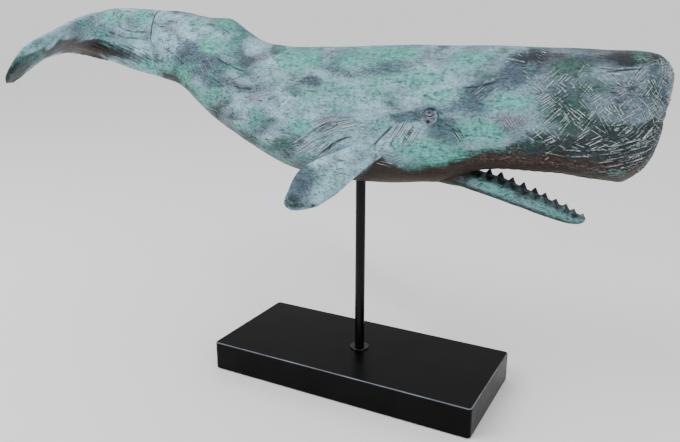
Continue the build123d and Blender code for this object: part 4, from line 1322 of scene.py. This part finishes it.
# painted shade: brown at the back end, under the head
jawSkin.paints["brown"] += 0.6 * (1 - smoothstep(jx, 75, 110))
jawSkin.paints["dark"] += 0.5 * smoothstep(softNoise(jawSkin.points, 5, 43), 0.1, 1.0)
jawSkin.height += 0.3 * softNoise(jawSkin.points, 9, 8)
for foot in toothTips:  # paint rubbed off the front teeth's tips, dark in the gaps between them
    ring = np.hypot(jx - foot[0], jy - foot[1])
    tooth = hump(ring, 2.4) * smoothstep(level, 1.0, 1.2)
    jawSkin.rub = np.maximum(jawSkin.rub, (0.15 + 0.6 * forward) * tooth)
    gap = hump(ring - 3.9, 0.9) * smoothstep(level, 0.8, 0.9) * (level < 1.08)
    jawSkin.darken(0.7 * gap)
jawHatches = (  # as for the flank
    (520, 203, 30, 12, 4, 2.4, 0.4, 0.1), (500, 192, 22, 18, 3, 2.2, 0.2, 0.0),
    (535, 212, 24, 12, 3, 2.2, 0.35, 0.0), (550, 204, 40, 8, 4, 2.4, 0.3, 0.0),
    (560, 214, 20, 12, 3, 2.2, 0.3, 0.0), (485, 190, 24, 16, 3, 2.4, 0.15, 0.0),
)
for entry in jawHatches:
    hatch(jawSkin, *entry, width=0.45)
onJawSide = np.abs(jawSkin.normals[:, 1]) > 0.4
jawSkin.randomStrokes(60, onJawSide, (4, 10), (3, 1.8), (-10, 40), 0.4, 0.2, 0.12, 0.1)
jawPiece = jawSkin.finish()
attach(jawPiece, "whale")
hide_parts("lower_jaw")
print("jaw done")

# Eyes: a ball between two sculpted lids, in a ring of folds

eye = {
    "place": (71.0, 40.3, 230.0),
    "radius": 5.9,
    "wide": 0.98,
    "tall": 0.96,
    "rings": 46,
    "turns": 72,
    "foldCentre": (0.4, 2.6),  # the folds curve round a place high in the eye
    "folds": (2.1, 3.9),
    "pupil": (-0.6, -3.5),
    "pupilRadius": 1.25,
}


def eyeForms(right, up):  # folds, the grooves between them, the lower lid, the brow's shade and the pupil
    foldX, foldZ = eye["foldCentre"]
    reach = np.hypot(right - foldX, (up - foldZ) * 1.25)
    outward = np.hypot(right / eye["wide"], up / eye["tall"])
    pupil = hump(np.hypot(right - eye["pupil"][0], up - eye["pupil"][1]), eye["pupilRadius"])
    under = smoothstep(up, 2.5, 0.0)
    folds = hump(reach - eye["folds"][0], 0.45) + hump(reach - eye["folds"][1], 0.5) * under
    grooves = hump(reach, 0.9) + hump(reach - 3.0, 0.42) * under
    lid = hump(outward - 5.3, 0.5) * smoothstep(up, 0.5, -2.0)
    brow = hump(outward - 5.5, 0.9) * smoothstep(0.9 * up - 0.5 * right, 0.5, 3.5)
    return folds, grooves, lid, brow, pupil


def makeEye(name, sign):
    shares = np.linspace(0.0, 1, eye["rings"] + 1)[1:]
    turns = np.linspace(0, 2 * math.pi, eye["turns"], endpoint=False)
    r = shares[:, None] * eye["radius"]
    right, up = r * np.cos(turns) * eye["wide"], r * np.sin(turns) * eye["tall"]
    folds, grooves, lid, brow, pupil = eyeForms(right, up)
    height = 1.5 * np.sqrt(np.clip(1 - (r / eye["radius"]) ** 2, 0, 1))
    height = height + 0.5 * folds + 0.6 * lid - 0.5 * grooves - 0.7 * brow
    height = height - 1.3 * pupil - 1.5 * smoothstep(r, eye["radius"] * 0.9, eye["radius"])
    x0, y0, z0 = eye["place"]
    front = np.stack([x0 + right, sign * (y0 + height - 0.3), z0 + up], -1)
    tip = np.array([[x0, sign * (y0 + height[0].mean() - 0.3), z0]])
    back = np.stack([x0 + right[-1] * 0.9, np.full(eye["turns"], sign * (y0 - 4.0)), z0 + up[-1] * 0.9], -1)
    points = np.vstack([tip, front.reshape(-1, 3), back])
    faces = [[0, 1 + k, 1 + (k + 1) % eye["turns"]] for k in range(eye["turns"])]
    for row in range(eye["rings"]):
        for k in range(eye["turns"]):
            a, b = 1 + row * eye["turns"] + k, 1 + row * eye["turns"] + (k + 1) % eye["turns"]
            faces.append([a, a + eye["turns"], b + eye["turns"], b])
    last = 1 + eye["rings"] * eye["turns"]
    faces.append([last + k for k in range(eye["turns"])])
    piece = joined(name, newMesh(name + "Blank", points, faces))
    skin = Skin(piece)
    ex, ez = skin.points[:, 0] - x0, skin.points[:, 2] - z0
    folds, grooves, lid, brow, pupil = eyeForms(ex, ez)
    uneven = smoothstep(softNoise(skin.points, 2.6, 51), -0.9, 0.5)
    edge = hump(np.hypot(ex, ez) - eye["radius"], 0.5)
    skin.cut = np.maximum.reduce([1.1 * grooves, 1.4 * pupil, 1.3 * brow, 0.8 * edge])
    skin.rub = np.maximum(1.15 * folds, 0.95 * lid) * (1 - pupil) * (1 - brow) * uneven
    skin.warm += 0.75
    skin.wear *= 0.3
    inner = 1 - smoothstep(np.hypot(ex, ez), 4.2, 5.7) * (1 - brow)
    for paint, amount in (("mauve", 1.2), ("slate", 0.5), ("dark", 0.4)):
        skin.paints[paint] += amount * inner
    skin.paints["mint"] += 0.35 * (1 - inner)
    made = skin.finish()
    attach(made, "whale")
    return made


makeEye("right_eye", -1)
makeEye("left_eye", 1)
print("eyes done")

# The stand and the hidden fittings keep their CAD shapes

# grain: noise size in mm and its stretch along z; roughness: least and change; relief: size and strength
plainFinishes = {
    # MDF, sprayed and rubbed black lacquer: satin, faint orange peel, with a pale line painted along the top
    # edges as a highlight
    "mdfBlackLacquer": {
        "constants": {"IOR": 1.5, "Specular IOR Level": 0.07},
        "grain": (26.0, 1.0),
        "colours": ("#060607", "#0b0b0d"),
        "roughness": (0.26, 0.08),
        "relief": (1.8, 0.03),
        "rubbedEdge": "#7f858e",
        "highlightFacing": 0.65,  # upward share of the direction that the edge with the painted highlight faces
        "highlightReach": (0.32, 0.22),
        "mostHighlight": 0.9,
        "leastPatchy": 0.45,
    },
    # steel rod, dipped in black lacquer: glossy, with faint runs along it
    "steelRodBlackLacquer": {
        "constants": {"IOR": 1.5, "Specular IOR Level": 0.14},
        "grain": (1.6, 14.0),
        "colours": ("#060504", "#110d0b"),
        "roughness": (0.16, 0.12),
        "relief": (1.2, 0.08),
    },
    # turned steel, blackened and polished: a dark ring with sharp glints
    "blackenedSteelTurned": {
        "constants": {"Metallic": 1.0},
        "grain": (1.2, 0.25),
        "colours": ("#26282b", "#46494d"),
        "roughness": (0.14, 0.12),
        "relief": (0.8, 0.05),
    },
    # zinc plated steel: pale and bluish, with a soft spangle
    "zincPlatedSteel": {
        "constants": {"Metallic": 1.0},
        "grain": (1.8, 1.0),
        "colours": ("#9ea4aa", "#c6cace"),
        "roughness": (0.28, 0.22),
        "relief": (0.9, 0.10),
    },
    # pressed wool felt: dull and fibrous, drinks the light
    "woolFeltPressed": {
        "constants": {"Sheen Weight": 0.4},
        "grain": (0.9, 1.0),
        "colours": ("#121212", "#2c2c2b"),
        "roughness": (0.90, 0.08),
        "relief": (0.7, 0.50),
    },
}


def plainFinish(name):
    f = plainFinishes[name]
    material, tree, shader = newMaterial(name, f["constants"])
    inObject = addNode(tree, "TexCoord", output="Object")
    noises = []
    for size, stretch in (f["grain"], (f["relief"][0], f["grain"][1])):
        place = scaledPlace(tree, inObject, (size * mm, size * mm, size * stretch * mm))
        noises.append(addNode(tree, "TexNoise", None, {"Vector": place, "Scale": 1, "Detail": 4}, "Fac"))
    spread = (noises[0], 0.35, 0.65)
    share = eased(tree, *spread, interpolation_type="LINEAR")
    colour = mixed(tree, share, linear(f["colours"][0]), linear(f["colours"][1]))
    # a painted highlight: a pale line where the surface faces partly up, as on the rounding of the top edges
    if "rubbedEdge" in f:
        facing = addNode(tree, "TexCoord", output="Normal")
        upward = addNode(tree, "SeparateXYZ", None, {0: facing}, "Z")
        apart = maths(tree, "ABSOLUTE", maths(tree, "SUBTRACT", upward, f["highlightFacing"]))
        edge = eased(tree, apart, *f["highlightReach"], 0.0, f["mostHighlight"])
        patchy = eased(tree, *spread, f["leastPatchy"], interpolation_type="LINEAR")
        paintedHighlight = maths(tree, "MULTIPLY", edge, patchy)
        colour = mixed(tree, paintedHighlight, colour, linear(f["rubbedEdge"]))
    tree.links.new(colour, shader.inputs["Base Color"])
    least, change = f["roughness"]
    rough = maths(tree, "MULTIPLY_ADD", share, change, least)
    tree.links.new(rough, shader.inputs["Roughness"])
    bump = {"Strength": f["relief"][1], "Distance": 0.3 * mm, "Height": noises[1]}
    tree.links.new(addNode(tree, "Bump", None, bump), shader.inputs["Normal"])
    return material


lacquer, rodBlack, ringBlack, zinc, felt = (plainFinish(name) for name in plainFinishes)
finishes = {
    "base_block": lacquer,
    "base_felt": felt,
    "support_rod": rodBlack,
    "rod_collar": ringBlack,
    "rod_washer": zinc,
    "rod_nut": zinc,
    "rod_socket": zinc,
    "socket_plug": zinc,
    "tail_dowel": zinc,
    "jaw_pin": zinc,
    "whale_body": resin,
    "tail_casting": resin,
    "lower_jaw": resin,
    "right_fin": resin,
    "left_fin": resin,
}
for node, finish in finishes.items():
    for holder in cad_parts[node].material_slots:
        holder.material = finish
print("stand finished")

# Floor and light, like the photograph's white surround

studio = {
    "floorHalf": 6.0,
    "floorColour": "#f7f7f7",
    "backdrop": 1.0,  # brightness of the surround just above the floor's edge
    "backdropTop": (0.10, 0.34),  # sine of the height where the backdrop fades
    "dim": 0.40,  # above it, so that black gloss stays black
    "zenith": 1.35,
    "ceiling": (0.30, 0.80),
}
floorMesh = bpy.data.meshes.new("floor")
h = studio["floorHalf"]
floorMesh.from_pydata([(-h, -h, 0), (h, -h, 0), (h, h, 0), (-h, h, 0)], [], [(0, 1, 2, 3)])
floor = bpy.data.objects.new("floor", floorMesh)
bpy.context.scene.collection.objects.link(floor)
floorPaint, _, floorShader = newMaterial("floorPaper", {"Roughness": 0.9})
floorShader.inputs["Base Color"].default_value = linear(studio["floorColour"])
floorMesh.materials.append(floorPaint)

world = bpy.data.worlds.new("studio")
world.use_nodes = True
sky = world.node_tree
upward = addNode(sky, "SeparateXYZ", None, {0: addNode(sky, "TexCoord", output="Generated")}, "Z")
parts = []
for (low, high), below, above in (
    (studio["backdropTop"], studio["backdrop"], 0.0),
    (studio["ceiling"], studio["dim"], studio["zenith"]),
):
    parts.append(eased(sky, upward, low, high, below, above))
brightness = maths(sky, "MAXIMUM", *parts)
sky.links.new(brightness, sky.nodes["Background"].inputs["Strength"])
sky.nodes["Background"].inputs["Color"].default_value = linear("#ffffff")
bpy.context.scene.world = world


def softBox(name, place, aim, size, power):
    light = bpy.data.lights.new(name, "AREA")
    light.shape, light.size, light.size_y, light.energy = "RECTANGLE", size[0], size[1], power
    lamp = bpy.data.objects.new(name, light)
    bpy.context.scene.collection.objects.link(lamp)
    lamp.location = place
    lamp.rotation_mode = "QUATERNION"
    lamp.rotation_quaternion = (Vector(aim) - Vector(place)).to_track_quat("-Z", "Y")


softBoxes = {  # place, aim and size in metres, power in watts
    "stripLight": ((-0.75, -0.80, 1.35), (-0.1, -0.05, 0.1), (1.4, 0.09), 11),  # the bright line on the base
    "leftBox": ((-1.0, -1.0, 0.7), (0, 0, 0.22), (0.25, 0.9), 5),
    "rightBox": ((1.2, -0.7, 0.6), (0.1, 0, 0.2), (0.2, 0.8), 4),
}
for name, box in softBoxes.items():
    softBox(name, *box)
print("lights set")
